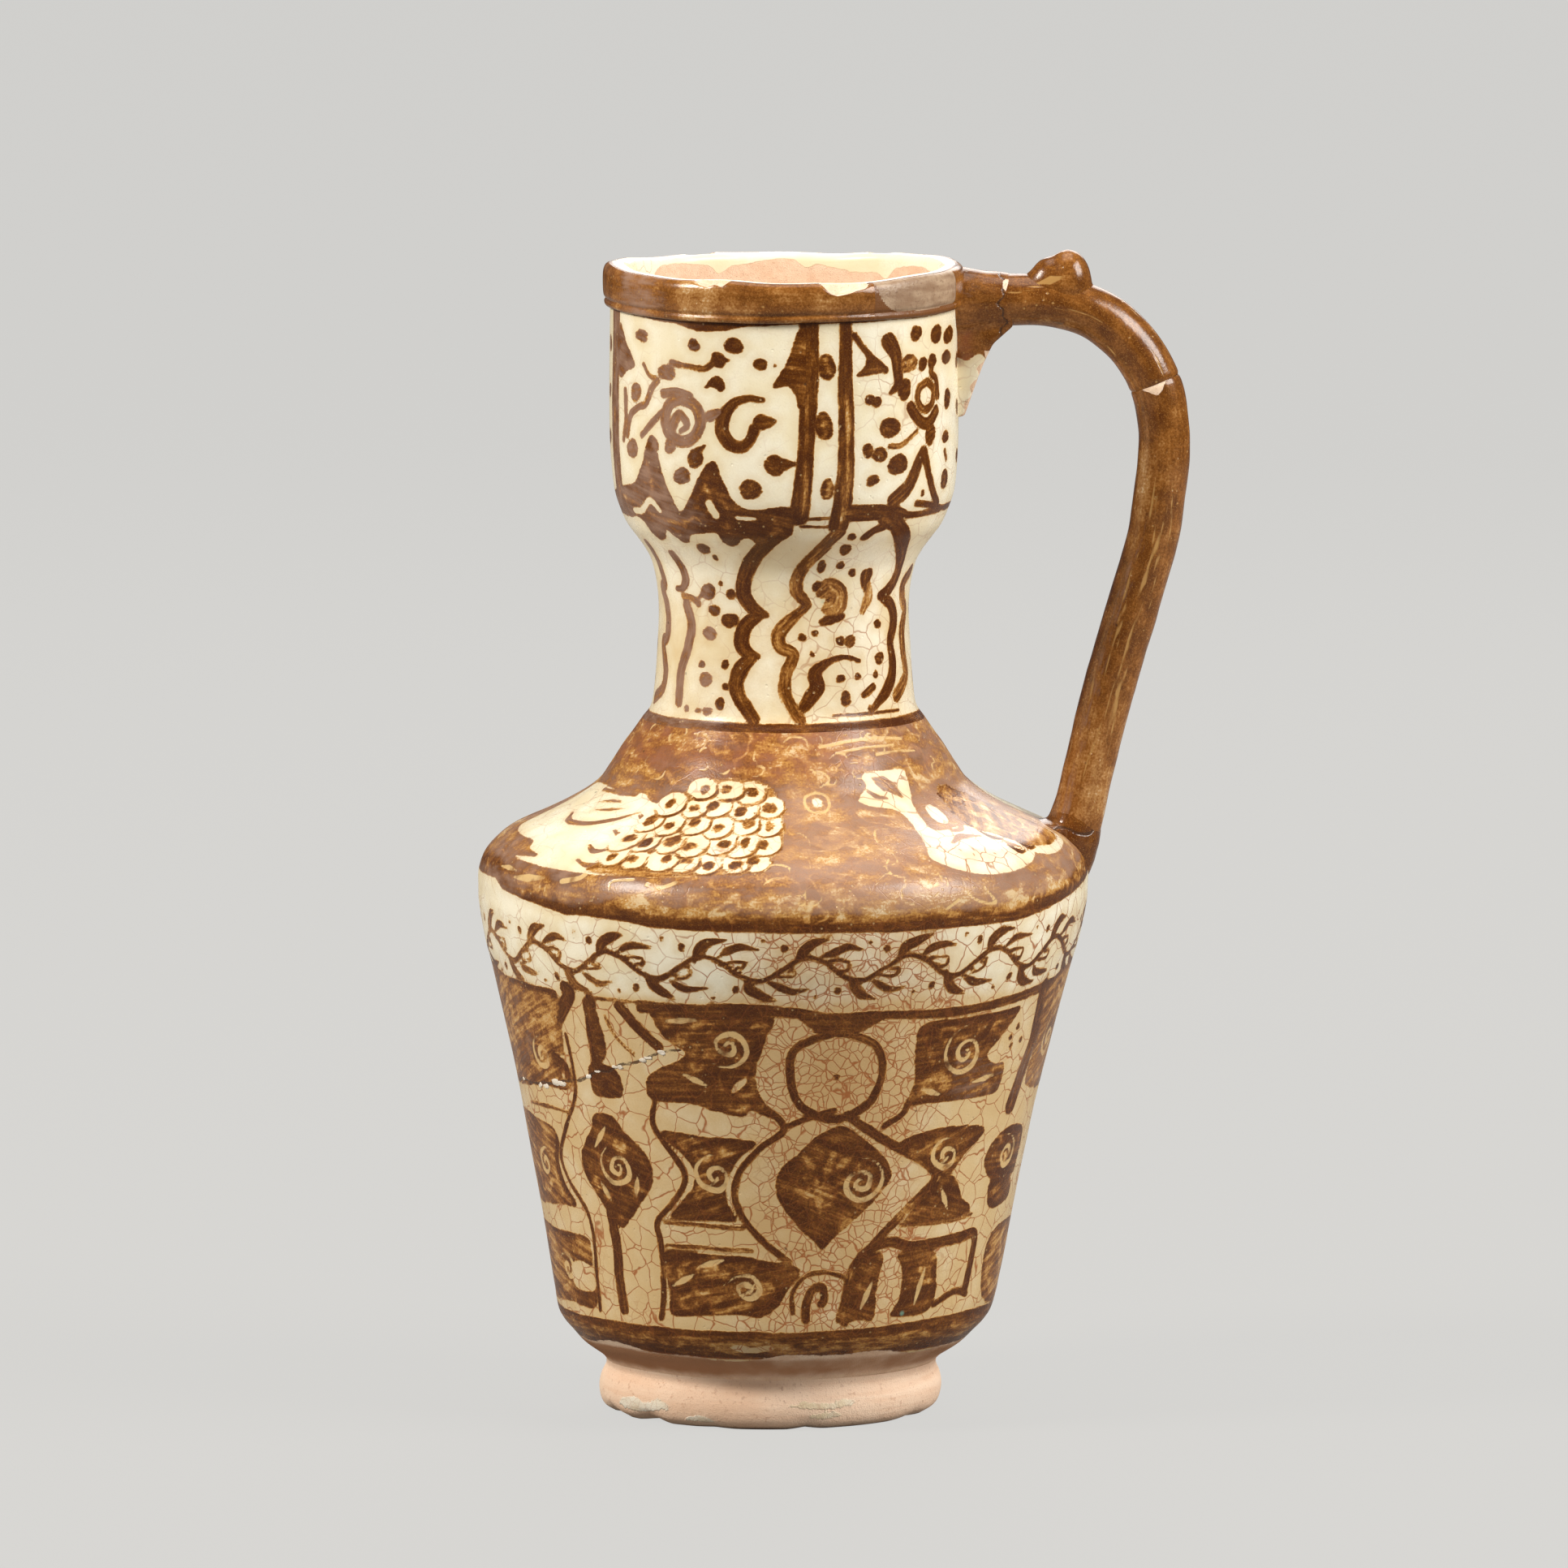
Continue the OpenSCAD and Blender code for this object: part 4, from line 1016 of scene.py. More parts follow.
wallArt = {
    "fills": [
        [(-26, 89.5), (-14, 89.3), (-2, 88.5), (-3, 84), (-5, 78), (-5, 74), (-3, 70), (0, 66.5), (-6, 68.5),
         (-8, 67.3), (-14, 68.3), (-20, 69.7), (-28, 70), (-30, 72.5), (-28, 76), (-20, 80), (-24, 83),
         (-27, 88)],
        [(30, 86), (40, 86.7), (50, 87), (57, 87.5), (56, 85), (52, 81), (49, 78), (52, 76), (56, 75.5),
         (56, 71), (54, 69.3), (45, 69), (35, 68.8), (29, 69), (30, 74), (29, 80)],
        [(12, 65), (8, 63), (4, 59.5), (1, 57), (-0.7, 53.5), (0, 50), (3, 46), (6, 43), (9, 41), (11, 39),
         (13, 41), (17, 44), (22, 48), (25.5, 51.5), (27, 54.5), (25, 58), (20, 62), (15, 65)],
        [(29, 61.5), (35, 63), (42, 63.5), (50, 63), (53.5, 62), (52, 60), (47, 56.5), (44, 53.5), (41, 53),
         (38, 54.5), (33, 58), (29, 60)],
        [(42, 53.5), (46, 52), (49, 48), (52.5, 46), (52, 44), (40, 43.3), (32, 44), (34, 47), (38, 50.5)],
        [(4, 89), (6.5, 85.4), (9, 84.4), (12, 84), (15, 84.4), (18, 85.6), (21, 88.5)],
        [(-43.6, 90), (-41, 90), (-39.6, 86), (-39, 80), (-40.5, 77.5), (-43.6, 77.8), (-43.2, 84)],
        [(-45.5, 66), (-40, 66), (-37, 63), (-33, 60), (-30.7, 57), (-30.2, 54), (-31.2, 51), (-34.5, 47.5),
         (-37.5, 44.5), (-40.5, 42.2), (-43.5, 44), (-47, 47.6), (-51, 52), (-52, 55), (-51.5, 57.5),
         (-49.5, 60), (-47, 63)],
        [(-27, 63.6), (-18, 63), (-10, 62.7), (-5, 61.8), (-9, 58.5), (-11, 55), (-12, 52), (-11.5, 48.5),
         (-9.5, 45.2), (-16, 45), (-26, 45), (-24, 48), (-20.5, 51.5), (-19.5, 55), (-21.5, 58)],
        [(-29, 38), (-18, 38), (-8, 37.8), (-3, 37), (2, 36.5), (4, 36), (6, 34.5), (3, 31), (0, 27),
         (-4, 25), (-10, 25.5), (-18, 25), (-28, 25), (-28, 30)],
        [(15.5, 24), (17.5, 31), (20, 36), (23, 38), (27, 37.5), (26, 30), (26, 24), (22, 24)],
        [(31, 24.5), (33, 28), (33, 34), (31, 37.5), (37, 39), (43, 37), (44, 33), (45, 29), (44, 25.5),
         (40, 24)],
        [(-45, 76), (-42, 77), (-37.5, 76), (-36, 73), (-37, 70), (-44, 70), (-45, 73)],
        [(57, 58), (61, 60.5), (68, 61.5), (75, 59), (74, 51), (68, 50), (61, 50), (57, 52.5), (55.5, 55)],
        [(60, 50), (72, 50), (73, 45.5), (62, 44.5)],
    ],
    "washes": [
        [(69, 91), (91, 92), (91, 70), (70, 69), (69, 78)], [(66, 39), (91, 39), (91, 24.5), (68, 25)],
        [(-91, 92), (-66, 91.5), (-52, 90.5), (-50.5, 87), (-52, 80), (-51.5, 74), (-52, 70.5), (-62, 70),
         (-91, 70)],
        [(-91, 62), (-66, 62), (-61, 60), (-62.5, 56), (-63, 53), (-61, 49), (-57, 46), (-62, 45), (-91, 45)],
        [(-91, 39), (-66, 39), (-54, 39), (-53.5, 33), (-54, 24.5), (-66, 24.5), (-91, 24.5)],
    ],
    "reserves": [
        [(-63, 33), (-54, 33), (-54, 28), (-63, 28)],
        [(-10.5, 72.3), (-9, 74.8), (-7, 75.2), (-8, 73.5)],
    ],
    "reserveLines": [
        (0.8, [(-56, 77), (-52.5, 76.5), (-52, 74.5), (-53.5, 73)]),
    ],
    "strokes": [
        ("dark", 1.7, [(-48, 92), (-47, 91), (-50, 87.5), (-54, 83.5)]),
        ("dark", 1.2, [(-90, 91.2), (-70, 90.8), (-52, 90.3)]),
        ("dark", 0.9, [(-72, 89), (-66, 84), (-60, 79)]),
        ("dark", 0.9, [(-80, 88), (-74, 82), (-70, 76), (-68, 71)]),
        ("dark", 1, [(-56, 77), (-52.5, 75), (-52.8, 71.5), (-56, 70.8)]),
        ("dark", 1.1, [(-90, 61.3), (-72, 61.2), (-62, 59.5), (-63.5, 54), (-61.5, 49), (-58, 46)]),
        ("dark", 0.9, [(-80, 58), (-74, 53), (-70, 47)]),
        ("dark", 1.2, [(-90, 38.4), (-70, 38.3), (-55, 38)]),
        ("dark", 1, [(-72, 36), (-66, 31), (-64, 25.5), (-55, 25.3)]),
        ("dark", 1.6, [(-41.5, 90), (-42, 85), (-42.3, 77)]),
        ("thin", 0.4, [(-42, 90.7), (-20, 90.7)]),
        ("dark", (1.1, 1.3, 1.2, 1, 1, 1, 1, 1.1, 1.2), [
            (-29, 89.5), (-10, 90), (0, 89.5), (10, 88.3), (20, 88.3), (30, 88), (45, 88.5), (60, 90),
            (91, 92)]),
        ("dark", 1.3, [(-34, 89.5), (-30, 85), (-26, 81.5)]),
        ("thin", 0.5, [(-38, 87), (-36, 83), (-32, 79.5)]),
        ("dark", 0.95, [(12, 85.3), (3.4, 82), (2.1, 76), (4.6, 69.6), (12, 66.7), (19.4, 69.6), (22, 76),
                        (19.8, 82), (12, 85.3)]),
        ("dark", 0.75, [(-4, 70), (1, 65), (-4, 61), (-8.5, 56), (-10, 52), (-9.5, 48.5), (-7, 44.5),
                        (-2, 40), (3, 36.5)]),
        ("dark", 0.7, [(1, 65.2), (6, 67), (12, 68.5)]),
        ("dark", 1, [(15, 67.5), (19, 65), (24, 62), (30, 59), (36, 56), (39, 53), (36, 50), (31, 46),
                     (25, 41), (19, 35)]),
        ("dark", 0.8, [(24, 64.8), (28, 67), (29, 69.5)]),
        ("dark", 2.2, [(66, 90), (67, 80), (65, 72), (63, 66)]),
        ("dark", 1.2, [(18, 24), (18, 30), (20, 36), (24, 39.5), (29, 40.3), (34, 39), (40, 39), (50, 39.5),
                       (57, 39.5), (57.5, 34), (57, 28)]),
        ("dark", 0.8, [(45, 26), (52, 28), (58, 27)]),
        ("dark", 0.55, [(4, 26), (4, 30), (7, 33.5), (11, 34.5), (15, 34), (18, 33)]),
        ("dark", 0.9, [(7.5, 24.5), (7.5, 28), (9, 31), (11.5, 31.3), (12, 29), (11.3, 27.8)]),
        ("dark", 0.7, [(-28, 70), (-29, 66), (-28, 63), (-24, 58), (-22, 55), (-22.5, 52), (-26, 48),
                       (-30, 44), (-29.5, 40), (-29.5, 33), (-30, 28), (-31, 24)]),
        ("dark", 1.3, [(-44, 45), (-43, 38), (-43.5, 32), (-43, 25)]),
        ("dark", 0.6, [(-50.5, 82), (-50, 75), (-50.5, 70), (-53, 66), (-57, 61), (-60, 57), (-60.5, 54),
                       (-58, 50), (-53, 45), (-51.5, 40), (-52, 32), (-52.5, 24)]),
        ("thin", 0.5, [(-28, 44.3), (-18, 44), (-8, 43.8)]),
        ("thin", 0.5, [(-28, 39.2), (-18, 39.3), (-6, 39)]),
        ("thin", 0.5, [(31, 43.6), (42, 43.4), (54, 43.8)]),
        ("thin", 0.5, [(-72, 65.5), (-62, 65.6), (-54, 65.4)]),
    ],
    "dots": {"dark": [(58, 83, 0.8, 0.8), (56, 81, 0.7, 0.8), (57, 79, 0.7, 0.8), (60.5, 80, 0.7, 0.8),
                      (12, 75.5, 0.7, 0.7), (-65, 48, 2.4, 2.2)]},
    "scratches": [((0.25, 0.7, 0.25), leaf) for leaf in (
        [(-24, 87), (-17, 87.6)], [(-21, 76), (-15.5, 73.6)], [(-27, 31), (-21, 33.5)],
        [(-20, 35), (-13, 37)], [(22, 26.5), (24.5, 32)], [(38, 26.5), (40, 34)], [(44.5, 46), (41.5, 50.5)],
        [(-46.5, 59), (-42.5, 63.5)], [(-46, 51.5), (-43.5, 48)], [(32, 72), (37, 70.5)],
        [(46, 72.5), (53, 73.5)], [(-34.5, 53.5), (-35.5, 49)])],
    "smears": [((0.3, 1, 0.3), smear) for smear in (
        [(5.5, 59), (9, 54.5)], [(12.5, 60), (10.5, 53)], [(4, 52), (9.5, 50.5)], [(9, 54), (10, 47)],
        [(13, 56), (17, 59)])],
}


# a spiral by rule: angle, height, size, turns, start and way round
def spiral(a, z, size, turns, start, way):
    points = []
    for t in np.linspace(0, 1, 5 + int(turns * 6)):
        r, turn = size * (1.5 - 1.35 * t ** 0.55), math.radians(start) + way * 2 * math.pi * turns * t
        across = r * math.cos(turn) + chance.uniform(-0.2, 0.2)
        points.append((a + math.degrees(across / float(radiusAt(z))),
                       z + 0.9 * r * math.sin(turn) + chance.uniform(-0.2, 0.2)))
    return (0.1, 0.5, 0.7, 0.35, 0.65, 0.4, 0.3), points


wallArt["scratches"] += [spiral(*values) for values in (
    (-11, 82, 4.2, 1.9, 200, 1), (42, 79, 5, 2, 80, 1), (19.5, 53.2, 4.6, 2.1, 110, -1),
    (41.5, 57.3, 3.6, 1.8, 50, 1), (-14.5, 54.5, 4.2, 1.8, 60, 1), (-40, 55, 4.2, 1.9, 100, 1),
    (66, 55.6, 3.6, 1.8, 120, -1), (-7.5, 30.8, 3.2, 1.8, 170, -1), (-61, 76.5, 3.4, 1.7, 80, 1),
    (-70, 53, 3.2, 1.6, 20, 1), (-66, 31.5, 3, 1.6, 160, -1), (79, 78, 4, 1.8, 90, 1))]
for number, (box, count, size) in enumerate([
        ((-27, -4, 70, 88), 16, 2), ((30, 55, 70, 86), 16, 2), ((2, 25, 43, 62), 8, 1.6),
        ((31, 52, 45, 62), 12, 1.6), ((-49, -34, 48, 64), 6, 1.6), ((-23, -9, 46, 61), 10, 1.8),
        ((-28, 2, 26, 37), 16, 1.8), ((-88, -53, 71, 90), 18, 2), ((-88, -62, 46, 61), 9, 1.8),
        ((-88, -55, 25, 38), 10, 1.6), ((57, 90, 46, 61), 8, 1.5), ((16, 44, 25, 38), 9, 1.5),
        ((66, 90, 66, 90), 10, 1.8), ((66, 90, 26, 39), 6, 1.6)]):
    wallArt["smears"] += curls(box, count, size, 40 + number)

# edges of the brown round the jug, by angle and height
borderEdge = [(-90, 112), (-70, 112.3), (-66, 110.5), (-60, 109.8), (-50, 108.3), (-45, 107.6), (-40, 108),
              (-30, 107.5), (-25, 106.6), (-10, 106.3), (0, 106.2), (30, 106), (50, 106.3), (57, 107),
              (64, 108.2), (70, 109), (90, 112)]
heelGroove = [(-90, 23.4), (-60, 23), (-20, 22.8), (0, 22.7), (30, 23.3), (60, 24.2), (90, 23.4)]
rollEdge = [(-90, 228.3), (-60, 227.8), (-38, 227.2), (-30, 225.9), (-20, 226.2), (-12, 227.4), (0, 227.6),
            (60, 227.8), (90, 228.3)]

# a plain running vine for the tall cream band, drawn by rule: each period has one half up and one half down
vine = {
    "low": 91.5, "high": 105.5, "period": 20, "stemStep": 4, "sway": 2.6, "seed": 7, "loose": (0.5, 0.35),
    "stem": 0.6, "thinAngles": (85, 135),
    "leaves": [((0.4, 1.25, 1.1, 0.25), [(3, 1.6), (4, 4), (6, 5.6), (9, 6.4)]),
               ((0.3, 0.9, 0.8, 0.25), [(7.5, 2.4), (9.5, 3.9), (12, 4.6), (15, 4.2)])],
    "tendrils": [(0.4, [(8, 1.2), (10.5, 1.8), (12.6, 1.2), (12.4, 0), (11, 0)])],
    "dots": [(0.5, 4.4, 0.8, 0.9), (10.5, -4.4, 0.8, 0.9), (16.5, 5.8, 0.5, 0.5), (6.5, -5.8, 0.5, 0.5)],
}
vineArt = {"turns": (0,), "strokes": [], "dots": {"dark": [], "thin": []}}
chance = random.Random(vine["seed"])
middle, period = (vine["low"] + vine["high"]) / 2, vine["period"]


def loosely(a, dz):
    wide, tall = vine["loose"]
    return a + chance.uniform(-wide, wide), middle + dz + chance.uniform(-tall, tall)


for first in range(-180, 180, period):
    thinFrom, thinTo = vine["thinAngles"]
    ink = "thin" if thinFrom < (first + 180) % 180 < thinTo else "dark"
    vineArt["strokes"].append((ink, vine["stem"], [
        (first + d, middle + vine["sway"] * math.sin(2 * math.pi * d / period))
        for d in range(0, period + 1, vine["stemStep"])]))
    for kind in ("leaves", "tendrils"):
        for a, way in ((first, 1), (first + period / 2, -1)):
            vineArt["strokes"] += [
                (ink, width, [loosely(a + da, way * dz) for da, dz in line]) for width, line in vine[kind]]
    vineArt["dots"][ink] += [(*loosely(first + da, dz), wide, tall) for da, dz, wide, tall in vine["dots"]]
print("brush work drawn")


# the thrown sections share one wobble, so that they still meet at their seams
thrown = {
    "wobble": 0.9, "wobbleScale": 28, "seed": (0.31, 0.17, 0.05),
    "sag": 0.45, "sagHeights": (205, 236), "unevenHeights": (231, 236),
    "chipRadii": (33.2, 34.6), "chipShare": 0.85,
    "lipChips": [  # angle and depth along each chip
        [(-31, 0), (-28, 0.9), (-25, 1.4), (-22.5, 0.8), (-20, 1.3), (-17.5, 0)],
        [(12, 0), (14.5, 2), (17, 2.7), (20.5, 2.2), (23.5, 1.5), (26.5, 1.1), (29, 0)],
        [(139, 0), (144, 1.5), (147, 0.9), (150, 0)], [(204, 0), (208, 1.6), (212, 1), (216, 0)]],
}
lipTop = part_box("collar")[1].z / mm
whole, none = 9, -9  # distances that say all clay or glaze, and none


def section(line, step):
    return evenly(splinePath(jug["outline"][line], jug["perPoint"]), step)


# a thrown piece, whole or an arc with a start and a sweep, and the sheet for its brush work
def lathe(name, outer, inner, steps, material, arc=None):
    edge = [(r - jug["hub"], -z, 0) for r, z in np.vstack([outer, inner])]
    outline = pathObject(name + "Outline", edge, True)
    start, sweep = (math.radians(angle) for angle in arc or (0, 0))
    piece = growMesh(name, arcTree if arc else sectionTree, {
        "Outline": outline, "Steps": steps, "Hub Radius": jug["hub"] * mm, "Start Angle": start,
        "Sweep Angle": sweep, **wobbleValues(thrown, material)})
    dropPath(outline)
    return piece, Sheet(spotsOf(piece.data, "ideal"))


def chipDepth(angle):
    depth = np.zeros(len(angle))
    for chip in thrown["lipChips"]:
        middle = (chip[0][0] + chip[-1][0]) / 2
        depth = np.maximum(depth, np.interp(turnedFrom(middle, angle) + middle, *zip(*chip)))
    return depth


# leans, sags and chips a thrown piece, and gives the depth of its chips
def settle(mesh, sheet):
    spots, turn = spotsOf(mesh), np.radians(sheet.angle)
    spots[:, 0] += leanAt(sheet.z)
    sag = thrown["sag"] * np.cos(turn) ** 2
    uneven = 0.3 * np.sin(2 * turn + 1) + 0.2 * np.sin(5 * turn) + 0.12 * np.sin(11 * turn + 2)
    drop = sag * rise(*thrown["sagHeights"], sheet.z) + uneven * rise(*thrown["unevenHeights"], sheet.z)
    spots[:, 2] -= drop
    deep = np.clip(sheet.z - (lipTop - chipDepth(sheet.angle)), 0, 9)
    cut = deep * rise(*thrown["chipRadii"], sheet.reach)
    spots[:, 2] -= cut * thrown["chipShare"]
    spots[:, 2] = np.maximum(spots[:, 2], 0)
    moveSpots(mesh, spots)
    return cut


# the foot: bare clay with spots of glaze, and chips by angle, width and depth
foot = {
    "inner": [(26.2, 10.5), (26.0, 6), (26.1, 1.2), (26.8, 0.1)], "step": 0.55, "steps": 300,
    "glaze": [[(-62, 3), (-54, 5), (-46, 4.2), (-40, 5.4), (-36, 3.6), (-44, 2.4), (-52, 2)],
              [(6, 5.2), (12, 6), (20, 5.6), (26, 6.4), (30, 5.4), (22, 4.4), (12, 4.6)],
              [(13, 3), (20, 3.7), (25, 3), (18, 2.2)], [(-30, 1.6), (-24, 2.8), (-19, 1.4)]],
    "chips": [(-70, 10, 1.2), (-46, 9, 1.5), (-20, 8, 0.4), (13, 7, 0.9), (60, 12, 0.8), (120, 12, 1.2),
              (160, 9, 0.8), (200, 8, 1.4), (232, 12, 0.7)],
    "chipShare": 0.7, "chipCurve": 1.3, "chipHeight": 3, "chipRadii": (29, 31), "chipLift": 0.6, "radius": 34,
}
footRing, sheet = lathe("footRing", section("foot", foot["step"]), foot["inner"], foot["steps"], bareClay)
sheet.decorate({"fills": foot["glaze"]})
settle(footRing.data, sheet)
spots = spotsOf(footRing.data)
nibble = np.zeros(len(spots))
for at, wide, deep in foot["chips"]:
    inward = np.clip(1 - np.abs(turnedFrom(at, sheet.angle)) / wide, 0, 1)
    nibble = np.maximum(nibble, foot["chipShare"] * deep * inward ** foot["chipCurve"])
low = np.clip(1 - sheet.z / foot["chipHeight"], 0, 1) * rise(*foot["chipRadii"], sheet.reach)
spots[:, :2] *= 1 - np.outer(low * nibble / foot["radius"], (1, 1))
spots[:, 2] += low * nibble * foot["chipLift"]
moveSpots(footRing.data, spots)
keepField(footRing.data, "glaze", sheet.paint)
finishPiece(footRing, "foot_ring")

# white fill in a mended crack of the wall: the crack's line, and flakes by angle, height and half sizes
flakes = {
    "crack": [(-82, 68.6), (-76, 69.9), (-70, 69.6), (-64, 70.3), (-59, 70.7), (-53, 72), (-49, 72.4),
              (-45.4, 73.8), (-42, 75.2), (-39, 75.4), (-35.8, 76.9), (-32, 77.6), (-28, 79.2), (-25, 80.4),
              (-21, 81)],
    "spots": [(-75, 69.7, 1, 0.35), (-64.5, 69.9, 1.1, 0.6), (-62, 70.2, 1.3, 0.5), (-57.5, 71.2, 1.5, 0.75),
              (-54.5, 71.4, 1.5, 0.6), (-45.4, 73.6, 0.9, 0.5), (-42.4, 75, 0.9, 0.35),
              (-37.6, 76.1, 0.9, 0.3), (-35.8, 76.7, 0.7, 0.5), (-30.2, 78.2, 0.9, 0.5),
              (-28.6, 78.8, 1, 0.3), (-25.1, 80.3, 0.9, 0.6)],
    "seam": 0.32, "depth": 0.2, "tilt": -0.2, "seed": (0.2, 0.9, 0.4), "wobble": 0.8, "wobbleScale": 620,
    "sharp": 30,
}

# the wall: brown above the border and in the heel's groove, with bare clay below the heel
wall = {
    "inner": [(57.8, 108), (57.5, 104), (56.2, 97), (52.4, 82), (48.6, 66), (45.1, 49), (42.6, 36),
              (40.6, 26), (38.5, 19.5), (36, 16), (30, 16), (30, 10.5)],
    "step": 0.66, "steps": 540, "grooveGap": 0.8, "heelLow": 15.8, "heelTop": 22, "bareBelow": 16.2,
    "heelSmear": ((0.8, 2, 1.4, 2.2, 0.8), [(-17, 18.6), (-10, 18.2), (-2, 18.6), (5, 18)]),
    "heelFlake": [(-12, 18.6), (-9, 19), (-6, 18.5), (-2, 19), (0, 18.2), (-3, 17.6), (-7, 17.2),
                  (-10, 17.6)],
}
bodyWall, sheet = lathe("bodyWall", section("wall", wall["step"]), wall["inner"], wall["steps"], paintedGlaze)
side, z = sheet.side, sheet.z
heelBand = np.minimum(sheet.edgeAt(heelGroove) - wall["grooveGap"] - z, z - wall["heelLow"])
sheet.paint = np.where(sheet.outside, np.maximum(z - sheet.edgeAt(borderEdge), heelBand), none)
heel = sheet.outside & (z < wall["heelTop"])
sheet.tone[heel] = 0.5 * swell(16.4, 18, 20, 21.5, z)[heel]
sheet.stroke("smear", *wall["heelSmear"])
sheet.fill("lift", wall["heelFlake"])
sheet.decorate(wallArt)
sheet.decorate(vineArt)
# painted reflection: a pale lavender tint laid on the brown at the right and at the left of the wall
sheet.deepen("sheen", 0.55 * rise(30, 44, side) * swell(64, 70, 76, 86, z))
sheet.deepen("sheen", 0.4 * rise(-52, -66, side) * rise(60, 80, z))
sheet.stroke("seam", flakes["seam"], flakes["crack"])
settle(bodyWall.data, sheet)
heelLine = np.sin(np.radians(sheet.angle * 5)) * 0.7 + np.sin(np.radians(sheet.angle * 13 + 40)) * 0.4
disc = np.exp(-((side - 12) / 9) ** 2 - ((z - 76) / 8) ** 2)
upper = rise(90, 94, z)  # from the panels up to the vine band
sheet.dressMesh(
    bodyWall.data, bare=np.where(sheet.outside, wall["bareBelow"] + heelLine - z, whole),
    crackle=0.68 + 0.34 * swell(-14, 2, 26, 40, side) - 0.3 * upper * rise(0, -30, side) + 0.5 * disc,
    # the rust field darkens the bare clay under the heel: partly a real brown stain, partly painted shade
    # under the heel's overhang
    rust=(0.85 + 0.3 * rise(12, -30, side)) * swell(9, 13, 15, 17, z),
    warm=0.85 - 0.7 * upper + 1.2 * disc)
wallIdeal, wallReal = sheet.spots, spotsOf(bodyWall.data)
finishPiece(bodyWall, "body_wall")

# the shoulder: brown ground with reserved birds, scales and feathers
shoulderLook = {
    "inner": [(24.2, 143), (26, 140.5), (28.2, 137), (30.4, 133), (33.5, 128), (38, 123.8), (43.5, 120.8),
              (50, 117), (54.5, 114), (57, 111), (57.8, 108)],
    "step": 0.5, "steps": 600, "bristles": (0.09, 0.09, 0.3), "thinnest": 0.85,
}
shoulder, sheet = lathe("thrownShoulder", section("shoulder", shoulderLook["step"]), shoulderLook["inner"],
                        shoulderLook["steps"], paintedGlaze)
side, z, edge = sheet.side, sheet.z, sheet.z - sheet.edgeAt(borderEdge)
sheet.paint = np.where(sheet.outside, edge, none)
sheet.brush = sheet.spots * shoulderLook["bristles"]
sheet.decorate(shoulderArt)
sheet.tone = np.minimum(sheet.tone, shoulderLook["thinnest"])
# painted reflection: a pale lavender tint on the left of the border
sheet.deepen("sheen", 0.75 * rise(-22, -44, side) * swell(108, 111, 113, 116, z))
lowBand = 0.95 * rise(1.6, 3.4, edge) * (1 - rise(113, 117, z))
sheet.deepen("tone", lowBand * (0.6 + 0.4 * rise(-38, -26, side)) * (1 - 0.1 * rise(20, 40, side)))
sheet.deepen("tone", (0.62 + 0.15 * rise(-6, 4, side)) * rise(113, 117, z) * (1 - 0.1 * rise(130, 138, z)))
# painted reflection: a pale tint over the upward-facing shoulder ground, where light from above glances off
# the lustre
sheet.deepen("sheen", (0.72 + 0.2 * rise(-8, 4, side)) * rise(2, 5, edge) * (1 - 0.25 * rise(128, 136, z)))
sheet.decorate(scaleArt)
sheet.decorate(featherArt)
settle(shoulder.data, sheet)
sheet.dressMesh(
    shoulder.data, bare=np.where(sheet.outside, none, whole), crackle=0.3 + 0.2 * rise(0, 30, side),
    rust=0.4 * rise(131, 137, z) * (1 - 0.6 * rise(15, 35, side)) + 0.2, warm=0.2)
finishPiece(shoulder, "shoulder")

# the neck: brown at its root, and a cleaner glaze towards the collar
neckLook = {"step": 0.38, "steps": 470, "thick": 4.2, "skip": 10, "innerTop": (26.4, 181),
            "innerEnd": (24.7, 143), "brownTop": 144.7, "sheen": 0.75, "paintedSheenAngles": (-16, -42)}
neckLine = section("neck", neckLook["step"])
neckInner = neckLine[::-neckLook["skip"]] - (neckLook["thick"], 0)
neckInner[0], neckInner[-1] = neckLook["innerTop"], neckLook["innerEnd"]
neck, sheet = lathe("thrownNeck", neckLine, neckInner, neckLook["steps"], paintedGlaze)
sheet.paint = np.where(sheet.outside, neckLook["brownTop"] - sheet.z, none)
sheet.decorate(neckArt)
sheet.decorate(collarArt)
# painted reflection: a pale lavender tint over the brown on the left side
sheet.deepen("sheen", neckLook["sheen"] * rise(*neckLook["paintedSheenAngles"], sheet.side))
settle(neck.data, sheet)
clean = rise(164, 180, sheet.z)
crackle = (0.16 + 0.24 * rise(-14, 14, sheet.side)) * (1 - clean)
crackle = crackle + (0.1 + 0.1 * rise(0, 30, sheet.side)) * clean
sheet.dressMesh(neck.data, bare=np.where(sheet.outside, none, whole), crackle=crackle, warm=0.4 * (1 - clean))
finishPiece(neck, "neck")

# the collar and the mouth, where the glaze ends in drips
collarLook = {
    "step": 0.4, "steps": 560, "lip": (35.7, 228.4), "lipStep": 0.5, "chipSeen": 0.05,
    "mouth": [(35.3, lipTop), (34.2, lipTop), (33, 236.1), (32.35, 235.3), (32.2, 234)],
    "throat": [(32.2, 233.2), (32.2, 227)], "throatStep": 1.0,
    "inner": [(32.2, 222), (32.2, 216), (32.2, 210), (32.2, 205), (32.2, 199), (31.4, 193), (29.6, 186.5),
              (26.4, 181)],
}
lipWall = evenly(np.array([collarLook["lip"], (collarLook["lip"][0], lipTop)]), collarLook["lipStep"])
collarLine = np.vstack([section("collar", collarLook["step"]), lipWall])
throat = evenly(np.array(collarLook["throat"]), collarLook["throatStep"])
mouthLine = np.vstack([splinePath(collarLook["mouth"], 4), throat, collarLook["inner"]])
collar, sheet = lathe("thrownCollar", collarLine, mouthLine, collarLook["steps"], paintedGlaze)
sheet.paint = np.where(sheet.outside, sheet.z - sheet.edgeAt(rollEdge), none)
